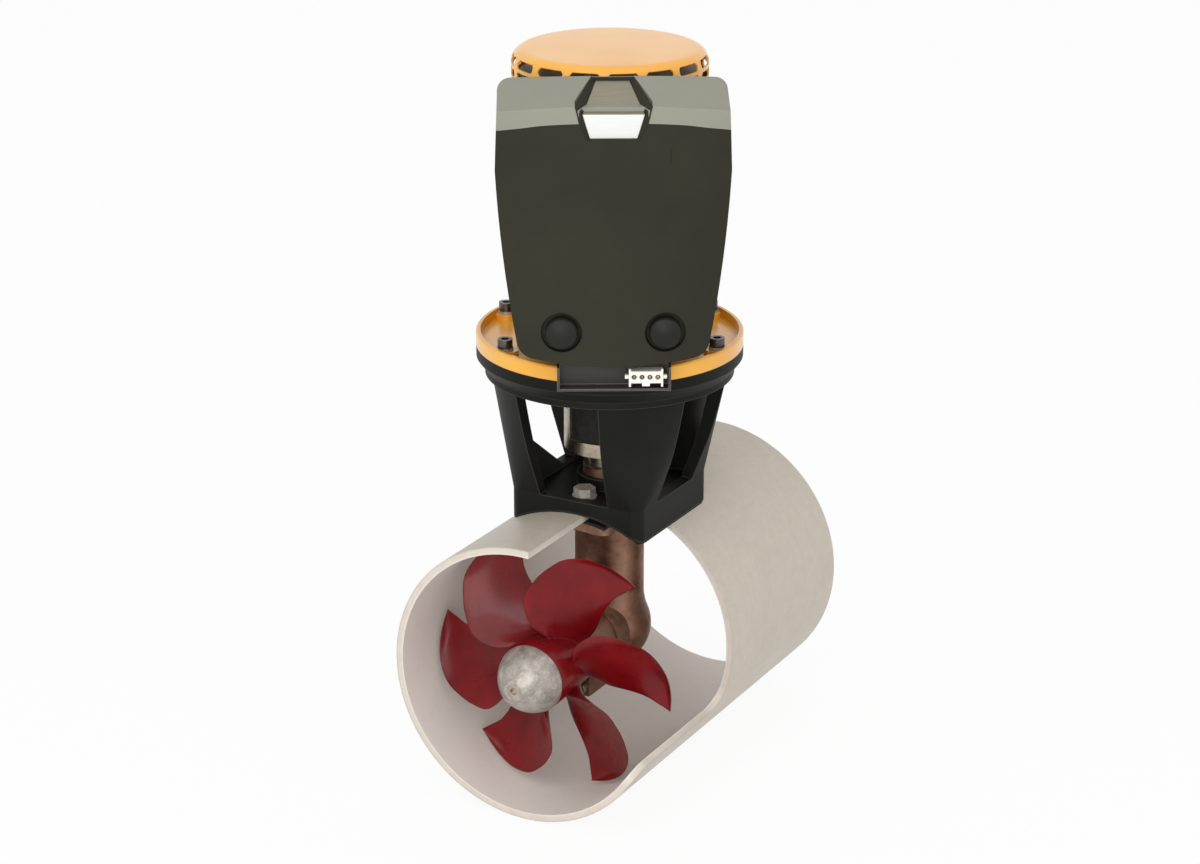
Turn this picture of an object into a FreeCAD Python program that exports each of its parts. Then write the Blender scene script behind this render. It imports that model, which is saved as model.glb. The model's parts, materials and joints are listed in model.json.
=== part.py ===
import FreeCAD, Part
import math
import os
import re

import Sketcher

# Bow thruster: a motor on a four-legged stand above a hull tunnel, with a bronze tail leg that carries
# the propeller inside the tunnel. Millimetres; +X runs along the tunnel away from the propeller end,
# +Z up, and the origin is where the tunnel's axis crosses the vertical axis of the drive.

Vector = FreeCAD.Vector
doc = FreeCAD.newDocument("bow_thruster")
sheet = doc.addObject("Spreadsheet::Sheet", "sizes")

SIZES = {
    # general fits
    "running_gap": 0.06,            # radial clearance of a shaft in its bearing or bush
    "moving_gap": 0.4,              # air between pieces that turn or slide past each other
    "seat_gap": 0.05,               # play of a piece in the seat or hole of its own assembly
    # hull tunnel
    "tunnel_radius": 97.5,
    "tunnel_wall": 5,
    "tunnel_near": 122,             # from the drive axis to the propeller end
    "tunnel_far": 161,
    "window_edge": 3,               # the window's end lies this far before the drive axis
    "window_top_angle": 4,          # degrees past the crown
    "window_low_angle": 27,         # degrees below the level of the axis
    "window_corner": 16,
    # foot of the stand
    "gasket": 1,
    "foot_half": 50,
    "foot_corner": 8,
    "sill_level": 107,
    "floor_level": 105,
    "foot_wall": 9,
    "hub_radius": 22,
    "hub_level": 113,
    # legs and top ring of the stand
    "leg_radius": 79.5,
    "leg_wall": 10,
    "ring_level": 186,
    "ring_neck_radius": 84,
    "ring_neck_top": 190.5,
    "ring_rim_level": 198,
    "flange_level": 205.6,
    "flange_radius": 89.8,
    "ring_bore": 62,
    "sill_half": 26,
    "lintel_half": 31,
    "window_round": 5,
    "web_low_reach": 9,             # the diagonal web meets the sill this far past the middle
    "web_high_level": 141,
    "clip_width": 7,
    "clip_height": 4,
    "clip_depth": 2.5,
    # foot bolts
    "foot_bolt_reach": 35,
    "foot_bolt_radius": 4,
    "foot_bolt_flats": 13,
    "foot_bolt_head": 5.5,
    "foot_bolt_hole": 4.4,
    "foot_washer_radius": 8.4,
    "foot_washer": 1.6,
    # tail leg
    "head_radius": 18,
    "head_level": 119,
    "head_clearance": 0.4,
    "column_radius": 23.8,
    "saddle_half_length": 46,
    "saddle_half_width": 21,
    "saddle_thickness": 6,
    "inner_seal": 2,
    "bulb_radius": 29,
    "case_radius": 24.5,
    "case_joint": 32,
    "case_cavity": 20.5,
    "case_depth": 15.5,
    "column_bore": 11,
    "pinion_chamber": 14,
    "pinion_chamber_top": 24.5,
    "lower_bush_top": 42,
    "lower_bush_bottom": 28,
    "drive_shaft_radius": 7,
    "top_bearing_radius": 15,
    "top_bearing_bottom": 100,
    "top_bearing_height": 9,
    "shaft_seal_height": 5,
    "rear_bush_radius": 10,
    "rear_bush_length": 7,
    # front cap of the gear case
    "cap_front": 59.6,
    "cap_radius": 23.5,
    "cap_spigot": 6,
    "front_bearing_radius": 17.5,
    "front_bearing_length": 10,
    "front_bearing_front": 51,
    "front_seal_length": 5,
    "lug_half_width": 5,
    "lug_bottom": 41,
    "lug_length": 30,
    "lug_screw_level": 35,
    "lug_screw_radius": 2,
    "lug_screw_head": 3.5,
    # bevel gears
    "gear_module": 1.8,
    "pinion_teeth": 12,
    "wheel_teeth": 18,
    "gear_face": 6,
    "tooth_share": 0.36,            # of the circular pitch, which leaves the backlash
    # propeller and its shaft
    "prop_shaft_radius": 8.5,
    "prop_shaft_rear_radius": 7,
    "prop_seat_radius": 8,
    "hub_front": 109,
    "hub_rear": 60.6,
    "hub_front_radius": 24,
    "hub_rear_radius": 22.6,
    "blade_count": 6,
    "blade_tip": 89.3,
    "blade_centre": 85,
    "blade_phase": 18,
    "blade_pitch": 170,
    "blade_thickness": 3.4,
    "pin_radius": 2.5,
    "pin_place": 66,
    "pin_length": 36,
    "anode_tip": 132,
    "anode_nose_radius": 6.5,
    "anode_screw_radius": 3,
    "anode_screw_head": 5,
    # coupling
    "cup_neck_radius": 14.3,
    "cup_neck_bottom": 117,
    "cup_level": 132,
    "cup_radius": 31,
    "cup_plate": 9.5,
    "jaw_inner": 24,
    "jaw_height": 22,
    "jaw_angle": 56,
    "rubber_radius": 29.4,
    "rubber_height": 25,
    "top_plate": 8,
    "top_hub_radius": 15,
    "top_hub_height": 14,
    "coupling_pin_radius": 4,
    "coupling_pin_circle": 17,
    "coupling_screw_radius": 2.5,
    # motor
    "motor_turn": -60,
    "flange_floor": 4,
    "flange_rim": 9.8,
    "flange_wall": 3.6,
    "screw_circle": 80.6,
    "screw_count": 6,
    "boss_radius": 8,
    "boss_height": 7.6,
    "screw_radius": 3,
    "screw_head_radius": 5,
    "screw_head": 6,
    "screw_length": 20,
    "screw_socket": 5,
    "washer": 1.6,
    "washer_radius": 5.5,
    "motor_radius": 62.5,
    "motor_wall": 5.5,
    "motor_top": 345,
    "register_height": 5,
    "bearing_radius": 16,
    "bearing_height": 9,
    "bearing_housing": 22,
    "motor_shaft_radius": 7.5,
    "armature_shaft_radius": 9,
    "core_radius": 40,
    "core_bottom": 250,
    "core_top": 318,
    "slot_count": 12,
    "slot_width": 8,
    "slot_depth": 9,
    "pole_count": 4,
    "pole_angle": 54,
    "pole_gap": 1,
    "coil_thickness": 5,
    "coil_angle": 14,
    "commutator_radius": 24,
    "commutator_bottom": 355,
    "commutator_height": 22,
    "bar_count": 24,
    # end shield, brushes and cap
    "shield_ring": 8,
    "shield_seat_radius": 63.3,
    "shield_wall_outer": 59,
    "shield_wall": 4,
    "shield_top": 391,
    "shield_plate": 6,
    "brush_width": 10,
    "brush_height": 12,
    "brush_length": 20,
    "brush_level": 360,
    "holder_wall": 1.6,
    "cap_skirt_radius": 64.5,
    "cap_sheet": 1.2,
    "cap_top": 405.4,
    "cap_edge_round": 4.5,
    "cap_bottom": 350,
    "cap_slots": 16,
    "cap_slot_length": 20,
    "cap_slot_height": 6.6,
    "cap_upper_row": 396,
    "cap_lower_row": 385,
    "cap_screw_radius": 2,
    "cap_screw_head_radius": 4,
    "cap_screw_head": 2.4,
    # cover
    "cover_front": 104,
    "cover_back": 18,
    "cover_wall": 2.5,
    "cover_bottom_half": 60,
    "cover_bulge_half": 73.5,
    "cover_top_half": 70.5,
    "cover_bottom": 222,
    "cover_bulge": 350,
    "cover_top": 397,
    "cover_bevel": 388,
    "cover_split": 376,
    "cover_crown": 7,
    "cover_corner": 12,
    "knob_reach": 33,
    "knob_level": 245,
    "knob_radius": 10.2,
    "knob_recess": 13,
    "knob_recess_depth": 5,
    "knob_stem_radius": 3,
    "insert_half": 21,
    # connector bracket
    "bracket_left": 36,
    "bracket_right": 37,
    "bracket_bottom": 205,
    "bracket_top": 220.6,
    "bracket_back": 90,
    "bracket_front": 101,
    "bracket_sheet": 1.5,
    "connector_left": 10,
    "connector_width": 22,
    "connector_height": 8,
    "connector_depth": 10,
    "pin_pitch": 5.08,
    "pin_bore": 1.7,
    "contact_radius": 0.8,
    # electrics under the cover
    "plate_level": 222,
    "plate_height": 147.5,
    "plate_half": 50,
    "plate_sheet": 2,
    "plate_place": 66,
    "contactor_radius": 14,
    "contactor_height": 48,
    "contactor_reach": 22,
    "contactor_level": 290,
    "stud_radius": 4,
    "stud_length": 16,
    "stud_flats": 15,
    "stud_collar": 5,
    "stud_level": 265,
    "stud_reach": 30,
    "busbar_thickness": 2,
}

PIECES = []


def fill_sheet():
    """Writes every driving size with its alias into the sheet."""
    for row, (alias, number) in enumerate(SIZES.items(), start=1):
        sheet.set("A%d" % row, alias)
        sheet.set("B%d" % row, str(number))
        sheet.setAlias("B%d" % row, alias)
    doc.recompute()


def size(text):
    """The number that an expression in the sheet's names comes to."""
    return float(sheet.evalExpression(text))


def spelled(text):
    """The same expression as another object of the document has to write it."""
    return re.sub(r"[a-z]\w*", lambda word: "sizes." + word.group() if word.group() in SIZES else word.group(), text)


def bind(thing, **sizes):
    """Ties properties of an object to expressions in the sheet's names."""
    for name, text in sizes.items():
        thing.setExpression(name, spelled(text))


def place(thing, at=("0", "0", "0"), axis=(0, 0, 1), turn="0"):
    """Puts an object at a point given by expressions, turned about an axis."""
    thing.Placement = FreeCAD.Placement(Vector(0, 0, 0), FreeCAD.Rotation(Vector(*axis), 0))
    for letter, text in zip("xyz", at):
        if text != "0":
            thing.setExpression("Placement.Base." + letter, spelled(text))
    if turn != "0":
        thing.setExpression("Placement.Rotation.Angle", spelled(turn))


def keep(thing, name):
    """Makes an object a piece of the part under the name that its file gets."""
    thing.Label = name
    PIECES.append(thing)
    return thing


# Part primitives and booleans

ALONG_X = ((0, 1, 0), "90")
ALONG_MINUS_X = ((0, 1, 0), "-90")
ALONG_MINUS_Y = ((1, 0, 0), "90")
UPRIGHT = ((0, 0, 1), "0")


def rod(name, radius, height, at=("0", "0", "0"), lie=UPRIGHT, angle=None):
    """A cylinder, or with an angle a sector of one."""
    piece = doc.addObject("Part::Cylinder", name)
    bind(piece, Radius=radius, Height=height)
    if angle:
        bind(piece, Angle=angle)
    place(piece, at, *lie)
    return piece


def block(name, length, width, height, at):
    """A box whose lowest corner is at the point."""
    piece = doc.addObject("Part::Box", name)
    bind(piece, Length=length, Width=width, Height=height)
    place(piece, at)
    return piece


def cone(name, radius1, radius2, height, at=("0", "0", "0"), lie=UPRIGHT):
    """A cone frustum that starts with radius1."""
    piece = doc.addObject("Part::Cone", name)
    bind(piece, Radius1=radius1, Radius2=radius2, Height=height)
    place(piece, at, *lie)
    return piece


def fused(name, shapes):
    """All the shapes as one solid."""
    piece = doc.addObject("Part::MultiFuse", name)
    piece.Shapes = shapes
    return piece


def common(name, shapes):
    """What the shapes share."""
    piece = doc.addObject("Part::MultiCommon", name)
    piece.Shapes = shapes
    return piece


def group(name, shapes):
    """Separate solids kept together as one piece."""
    piece = doc.addObject("Part::Compound", name)
    piece.Links = shapes
    return piece


def cut(name, base, tools):
    """The base without its tools."""
    piece = doc.addObject("Part::Cut", name)
    piece.Base = base
    piece.Tool = tools[0] if len(tools) == 1 else group(name + "_tools", tools)
    return piece


def pipe(name, outer, inner, height, at=("0", "0", "0"), lie=UPRIGHT, angle=None):
    """A tube, or with an angle a sector of one."""
    shell = rod(name + "_outside", outer, height, at, lie, angle)
    return cut(name, shell, [rod(name + "_inside", inner, height, at, lie)])


def turned_about_z(thing, turn):
    """Turns an object about the vertical axis by an expression in degrees."""
    place(thing, turn=turn)
    return thing


# PartDesign bodies

PLANE_OF_AXES = {"XY": "XY_Plane", "XZ": "XZ_Plane", "YZ": "YZ_Plane"}


def new_body(name, turn="0"):
    """An empty body, turned about the vertical axis."""
    body = doc.addObject("PartDesign::Body", name)
    body.AllowCompound = True
    place(body, turn=turn)
    return body


def origin_feature(body, role):
    """One of the body's own origin planes or axes."""
    return [item for item in body.Origin.OriginFeatures if item.Role == role][0]


def new_sketch(body, name, plane, away="0", across="0", up="0"):
    """A sketch on one of the body's origin planes, shifted by expressions."""
    sketch = body.newObject("Sketcher::SketchObject", name)
    sketch.AttachmentSupport = [(origin_feature(body, PLANE_OF_AXES[plane]), "")]
    sketch.MapMode = "FlatFace"
    for letter, text in zip("xyz", (across, up, away)):
        if text != "0":
            sketch.setExpression("AttachmentOffset.Base." + letter, spelled(text))
    return sketch


def pin(sketch, edge, end, spot):
    """Ties a point of a sketch to a spot given by two expressions."""
    for kind, text in zip(("DistanceX", "DistanceY"), spot):
        number = sketch.addConstraint(Sketcher.Constraint(kind, -1, 1, edge, end, size(text)))
        sketch.setExpression("Constraints[%d]" % number, spelled(text))


def side_edge(start, end, bend):
    """A straight line, or an arc of a signed radius that bulges to the right of the way if positive."""
    if bend is None:
        return Part.LineSegment(start, end), 1, 2
    radius = size(bend)
    half = (end - start) * 0.5
    across = Vector(half.y, -half.x, 0).normalize()
    height = math.sqrt(max(radius * radius - half.Length * half.Length, 0))
    sign = 1 if radius > 0 else -1
    centre = start + half - across * (height * sign)
    full = Part.Circle(centre, Vector(0, 0, 1), abs(radius))
    angles = [math.atan2(spot.y - centre.y, spot.x - centre.x) for spot in (start, end)]
    if sign > 0:
        return Part.ArcOfCircle(full, angles[0], angles[1]), 1, 2
    return Part.ArcOfCircle(full, angles[1], angles[0]), 2, 1


def outline(sketch, spots):
    """Closes edges through spots of (across, up) or (across, up, radius of the arc to the next)."""
    points = [Vector(size(spot[0]), size(spot[1]), 0) for spot in spots]
    first = sketch.GeometryCount
    count = len(points)
    ends = []
    for index, point in enumerate(points):
        bend = spots[index][2] if len(spots[index]) > 2 else None
        edge, begins, finishes = side_edge(point, points[(index + 1) % count], bend)
        sketch.addGeometry(edge, False)
        ends.append((begins, finishes))
    for index in range(count):
        following = (index + 1) % count
        join = (first + index, ends[index][1], first + following, ends[following][0])
        sketch.addConstraint(Sketcher.Constraint("Coincident", *join))
        pin(sketch, first + index, ends[index][0], spots[index][:2])
        if len(spots[index]) > 2:
            bend = "abs(%s)" % spots[index][2]
            number = sketch.addConstraint(Sketcher.Constraint("Radius", first + index, size(bend)))
            sketch.setExpression("Constraints[%d]" % number, spelled(bend))
    return sketch


def circle(sketch, radius, across="0", up="0"):
    """A circle with its centre and radius given by expressions."""
    centre = Vector(size(across), size(up), 0)
    edge = sketch.addGeometry(Part.Circle(centre, Vector(0, 0, 1), size(radius)), False)
    pin(sketch, edge, 3, (across, up))
    number = sketch.addConstraint(Sketcher.Constraint("Radius", edge, size(radius)))
    sketch.setExpression("Constraints[%d]" % number, spelled(radius))
    return sketch


def rounded_rectangle(sketch, half_across, half_up, corner):
    """A rectangle about the sketch's origin with arcs for corners."""
    wide, tall, bend = size(half_across), size(half_up), size(corner)
    first = sketch.GeometryCount
    straight_wide, straight_tall = wide - bend, tall - bend
    quarter = math.pi / 2
    sides = [
        (Vector(-straight_wide, -tall), Vector(straight_wide, -tall), Vector(straight_wide, -straight_tall)),
        (Vector(wide, -straight_tall), Vector(wide, straight_tall), Vector(straight_wide, straight_tall)),
        (Vector(straight_wide, tall), Vector(-straight_wide, tall), Vector(-straight_wide, straight_tall)),
        (Vector(-wide, straight_tall), Vector(-wide, -straight_tall), Vector(-straight_wide, -straight_tall)),
    ]
    signs = [("", "-"), ("", ""), ("-", ""), ("-", "-")]
    for index, (start, end, centre) in enumerate(sides):
        sketch.addGeometry(Part.LineSegment(start, end), False)
        full = Part.Circle(centre, Vector(0, 0, 1), bend)
        sketch.addGeometry(Part.ArcOfCircle(full, (index - 1) * quarter, index * quarter), False)
    for index, (across, up) in enumerate(signs):
        line, arc = first + 2 * index, first + 2 * index + 1
        following = first + 2 * ((index + 1) % 4)
        sketch.addConstraint(Sketcher.Constraint("Tangent", line, 2, arc, 1))
        sketch.addConstraint(Sketcher.Constraint("Tangent", arc, 2, following, 1))
        middle = ("%s(%s - (%s))" % (across, half_across, corner), "%s(%s - (%s))" % (up, half_up, corner))
        pin(sketch, arc, 3, middle)
    number = sketch.addConstraint(Sketcher.Constraint("Radius", first + 1, bend))
    sketch.setExpression("Constraints[%d]" % number, spelled(corner))
    for index in (1, 2, 3):
        sketch.addConstraint(Sketcher.Constraint("Equal", first + 1, first + 2 * index + 1))
    return sketch


def feature(body, kind, name, sketch):
    """A sketch-based feature of the body, with its sketch hidden in it."""
    item = body.newObject("PartDesign::" + kind, name)
    item.Profile = (sketch, [""])
    return item


def pad(body, name, sketch, length, backwards=False):
    """Adds the sketch's outline pulled along its normal."""
    item = feature(body, "Pad", name, sketch)
    bind(item, Length=length)
    item.Reversed = backwards
    return item


def pocket(body, name, sketch, depth, forwards=False):
    """Cuts the sketch's outline against its normal, or along it if forwards."""
    item = feature(body, "Pocket", name, sketch)
    bind(item, Length=depth)
    item.Reversed = forwards
    return item


def revolve(body, name, sketch, axis="V_Axis", kind="Revolution"):
    """Turns the sketch's outline about one of its own axes."""
    item = feature(body, kind, name, sketch)
    item.ReferenceAxis = (sketch, [axis])
    item.Angle = 360
    return item


def polar(body, name, features, count, role="Z_Axis", angle="360"):
    """Repeats features about one of the body's axes and makes that the body's tip."""
    doc.recompute()
    item = body.newObject("PartDesign::PolarPattern", name)
    item.Originals = features
    item.Axis = (origin_feature(body, role), [""])
    bind(item, Angle=angle, Occurrences=count)
    body.Tip = item
    return item


def edges_where(shape, test):
    """Names of the edges whose middle and ends pass a test."""
    names = []
    for index, edge in enumerate(shape.Edges, start=1):
        middle = edge.valueAt((edge.FirstParameter + edge.LastParameter) / 2)
        if test(edge, middle):
            names.append("Edge%d" % index)
    return names


def soften(body, name, test, radius, kind="Fillet"):
    """Rounds or bevels the edges of the body's tip that pass a test."""
    doc.recompute()
    base = body.Tip
    item = body.newObject("PartDesign::" + kind, name)
    item.Base = (base, edges_where(base.Shape, test))
    bind(item, **{"Radius" if kind == "Fillet" else "Size": radius})
    return item


def lathe(name, spots, turn="0", lie="upright"):
    """A body turned from one outline of (radius, level) or, lying along X, (place, radius) spots."""
    body = new_body(name, turn)
    sketch = outline(new_sketch(body, name + "_profile", "XZ"), spots)
    revolve(body, name + "_turned", sketch, "V_Axis" if lie == "upright" else "H_Axis")
    return body


def add_solid(body, kind, name, at=("0", "0", "0"), lie=UPRIGHT, **sizes):
    """Adds or cuts a primitive solid inside a body."""
    item = body.newObject("PartDesign::" + kind, name)
    bind(item, **sizes)
    place(item, at, *lie)
    return item


def hexagon(name, flats, height, at):
    """A hexagonal prism by its width across flats."""
    piece = doc.addObject("Part::Prism", name)
    piece.Polygon = 6
    bind(piece, Circumradius="(%s)/sqrt(3)" % flats, Height=height)
    place(piece, at)
    return piece


# Hull tunnel, gasket and seal


def foot_holes(name, top):
    """Tools that clear the tail leg's head and the two foot bolts up to a level."""
    tools = [rod(name + "_head_hole", "head_radius + head_clearance", top)]
    for side, sign in (("near", "-"), ("far", "")):
        spot = (sign + "foot_bolt_reach", "0", "0")
        tools.append(rod(name + "_%s_hole" % side, "foot_bolt_hole", top, spot))
    return tools


def add_hull_tunnel():
    """The tube, opened by a long window on its -Y side and holed at its crown for the tail leg."""
    body = new_body("hull_tunnel")
    ring = new_sketch(body, "tunnel_ring", "YZ", away="-tunnel_near")
    circle(ring, "tunnel_radius")
    circle(ring, "tunnel_radius - tunnel_wall")
    pad(body, "tunnel_tube", ring, "tunnel_near + tunnel_far")
    sector = outline(new_sketch(body, "window_sector", "YZ", away="-tunnel_near - 1"), [
        ("0", "0"),
        ("-2*tunnel_radius*sin(window_top_angle)", "2*tunnel_radius*cos(window_top_angle)"),
        ("-3*tunnel_radius", "2*tunnel_radius*cos(window_top_angle)"),
        ("-3*tunnel_radius", "-2*tunnel_radius*sin(window_low_angle)"),
        ("-2*tunnel_radius*cos(window_low_angle)", "-2*tunnel_radius*sin(window_low_angle)"),
    ])
    pocket(body, "window", sector, "tunnel_near + 1 - window_edge", forwards=True)
    holes = new_sketch(body, "crown_holes", "XY")
    circle(holes, "head_radius + head_clearance")
    circle(holes, "foot_bolt_hole", "-foot_bolt_reach")
    circle(holes, "foot_bolt_hole", "foot_bolt_reach")
    pocket(body, "crown_bores", holes, "tunnel_radius + 1", forwards=True)
    low = math.radians(size("window_low_angle"))
    wall = size("tunnel_wall")

    def low_corner(edge, middle):
        across = -middle.y * math.sin(low) + middle.z * math.cos(low)
        return abs(edge.Length - wall) < 0.01 and abs(across) < 0.01 and middle.z < 0

    soften(body, "window_corners", low_corner, "window_corner")
    keep(body, "hull_tunnel")


def add_foot_gasket():
    """The rubber sheet between the tunnel and the stand's foot."""
    sheet_ring = pipe("gasket_ring", "tunnel_radius + gasket", "tunnel_radius", "2*foot_half",
                      ("-foot_half", "0", "0"), ALONG_X)
    square = block("gasket_square", "2*foot_half", "2*foot_half", "2*tunnel_radius",
                   ("-foot_half", "-foot_half", "0"))
    whole = common("gasket_whole", [sheet_ring, square])
    keep(cut("foot_gasket_cut", whole, foot_holes("gasket", "2*tunnel_radius")), "foot_gasket")


def add_inner_seal():
    """The rubber sheet between the tunnel's inside and the tail leg's saddle."""
    inner = "tunnel_radius - tunnel_wall"
    seal_ring = pipe("seal_ring", inner, inner + " - inner_seal", "2*saddle_half_length",
                     ("-saddle_half_length", "0", "0"), ALONG_X)
    strip = block("seal_strip", "2*saddle_half_length", "2*saddle_half_width", "2*tunnel_radius",
                  ("-saddle_half_length", "-saddle_half_width", "0"))
    whole = common("seal_whole", [seal_ring, strip])
    keep(cut("inner_seal_cut", whole, foot_holes("seal", "2*tunnel_radius")), "leg_seal")


# Stand


def stand_window(body, name, plane, away, outwards, spots):
    """Cuts one of the four openings between the legs, from the cavity outwards."""
    sketch = outline(new_sketch(body, name + "_outline", plane, away=away), spots)
    return pocket(body, name, sketch, "leg_radius", forwards=outwards)


def add_motor_stand():
    """Square saddle foot, four legs that lean out into a round ring, and a floor with a hub."""
    body = new_body("motor_stand")
    foot_bottom = "0.7*tunnel_radius"
    foot = rounded_rectangle(new_sketch(body, "foot_outline", "XY", away=foot_bottom),
                             "foot_half", "foot_half", "foot_corner")
    pad(body, "foot_block", foot, "sill_level - " + foot_bottom)
    low = rounded_rectangle(new_sketch(body, "legs_low", "XY", away="sill_level"),
                            "foot_half", "foot_half", "foot_corner")
    high = rounded_rectangle(new_sketch(body, "legs_high", "XY", away="ring_level"),
                             "leg_radius", "leg_radius", "leg_radius - 0.5")
    legs = feature(body, "AdditiveLoft", "legs", low)
    legs.Sections = [(high, [""])]
    inner_low = rounded_rectangle(new_sketch(body, "cavity_low", "XY", away="floor_level"),
                                  "foot_half - foot_wall", "foot_half - foot_wall", "foot_corner/2")
    inner_high = rounded_rectangle(new_sketch(body, "cavity_high", "XY", away="ring_level"),
                                   "leg_radius - leg_wall", "leg_radius - leg_wall",
                                   "leg_radius - leg_wall - 0.5")
    cavity = feature(body, "SubtractiveLoft", "cavity", inner_low)
    cavity.Sections = [(inner_high, [""])]
    ring = outline(new_sketch(body, "ring_profile", "XZ"), [
        ("ring_bore", "ring_level"), ("ring_neck_radius", "ring_level"),
        ("ring_neck_radius", "ring_neck_top"), ("flange_radius", "ring_rim_level"),
        ("flange_radius", "flange_level"), ("ring_bore", "flange_level"),
    ])
    revolve(body, "top_ring", ring)
    hub = circle(new_sketch(body, "hub_outline", "XY", away="floor_level"), "hub_radius")
    pad(body, "floor_hub", hub, "hub_level - floor_level")
    saddle = circle(new_sketch(body, "saddle_outline", "YZ", away="-foot_half - 1"), "tunnel_radius + gasket")
    pocket(body, "saddle", saddle, "2*foot_half + 2", forwards=True)
    holes = new_sketch(body, "floor_holes", "XY", away="tunnel_radius/2")
    circle(holes, "head_radius + head_clearance")
    circle(holes, "foot_bolt_hole", "-foot_bolt_reach")
    circle(holes, "foot_bolt_hole", "foot_bolt_reach")
    pocket(body, "floor_bores", holes, "hub_level", forwards=True)
    spots = new_sketch(body, "spot_faces", "XY", away="floor_level")
    circle(spots, "foot_washer_radius + moving_gap", "-foot_bolt_reach")
    circle(spots, "foot_washer_radius + moving_gap", "foot_bolt_reach")
    pocket(body, "spot_faced_floor", spots, "foot_bolt_head + foot_washer + 2", forwards=True)

    flat_sill = [("-sill_half", "sill_level"), ("sill_half", "sill_level"),
                 ("lintel_half", "ring_level"), ("-lintel_half", "ring_level")]
    web_side = "(sill_half + (lintel_half - sill_half)*(web_high_level - sill_level)/(ring_level - sill_level))"
    web_sill = [("web_low_reach", "sill_level"), ("sill_half", "sill_level"), ("lintel_half", "ring_level"),
                ("-lintel_half", "ring_level"), ("-" + web_side, "web_high_level")]
    start = "foot_half - foot_wall - 4"
    stand_window(body, "near_window", "YZ", "-(%s)" % start, False, flat_sill)
    stand_window(body, "camera_side_window", "XZ", start, True, flat_sill)
    stand_window(body, "far_window", "YZ", start, True, web_sill)
    stand_window(body, "back_window", "XZ", "-(%s)" % start, False, web_sill)
    hole = circle(new_sketch(body, "ring_hole_outline", "XY", away="flange_level"), "screw_radius + seat_gap",
                  "screw_circle*cos(30)", "screw_circle*sin(30)")
    bore = pocket(body, "ring_hole", hole, "screw_length - boss_height - washer + 0.5")
    polar(body, "ring_holes", [bore], "screw_count")
    keep(body, "motor_stand")


def add_foot_bolts():
    """Two hexagon bolts on washers, from the stand's floor into the tail leg's saddle."""
    bolts = []
    washers = []
    for side, sign in (("near", "-"), ("far", "")):
        reach = sign + "foot_bolt_reach"
        seat = "floor_level + foot_washer"
        bottom = "tunnel_radius - tunnel_wall - inner_seal - saddle_thickness + 1.5"
        shank = rod(side + "_shank", "foot_bolt_radius", seat + " + 1 - (%s)" % bottom, (reach, "0", bottom))
        head = hexagon(side + "_head", "foot_bolt_flats", "foot_bolt_head", (reach, "0", seat))
        bolts.append(fused(side + "_bolt", [shank, head]))
        washers.append(pipe(side + "_washer", "foot_washer_radius", "foot_bolt_hole", "foot_washer",
                            (reach, "0", "floor_level")))
    keep(group("foot_bolt_pair", bolts), "foot_bolts")
    keep(group("foot_washer_pair", washers), "foot_washers")


# Tail leg


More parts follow.
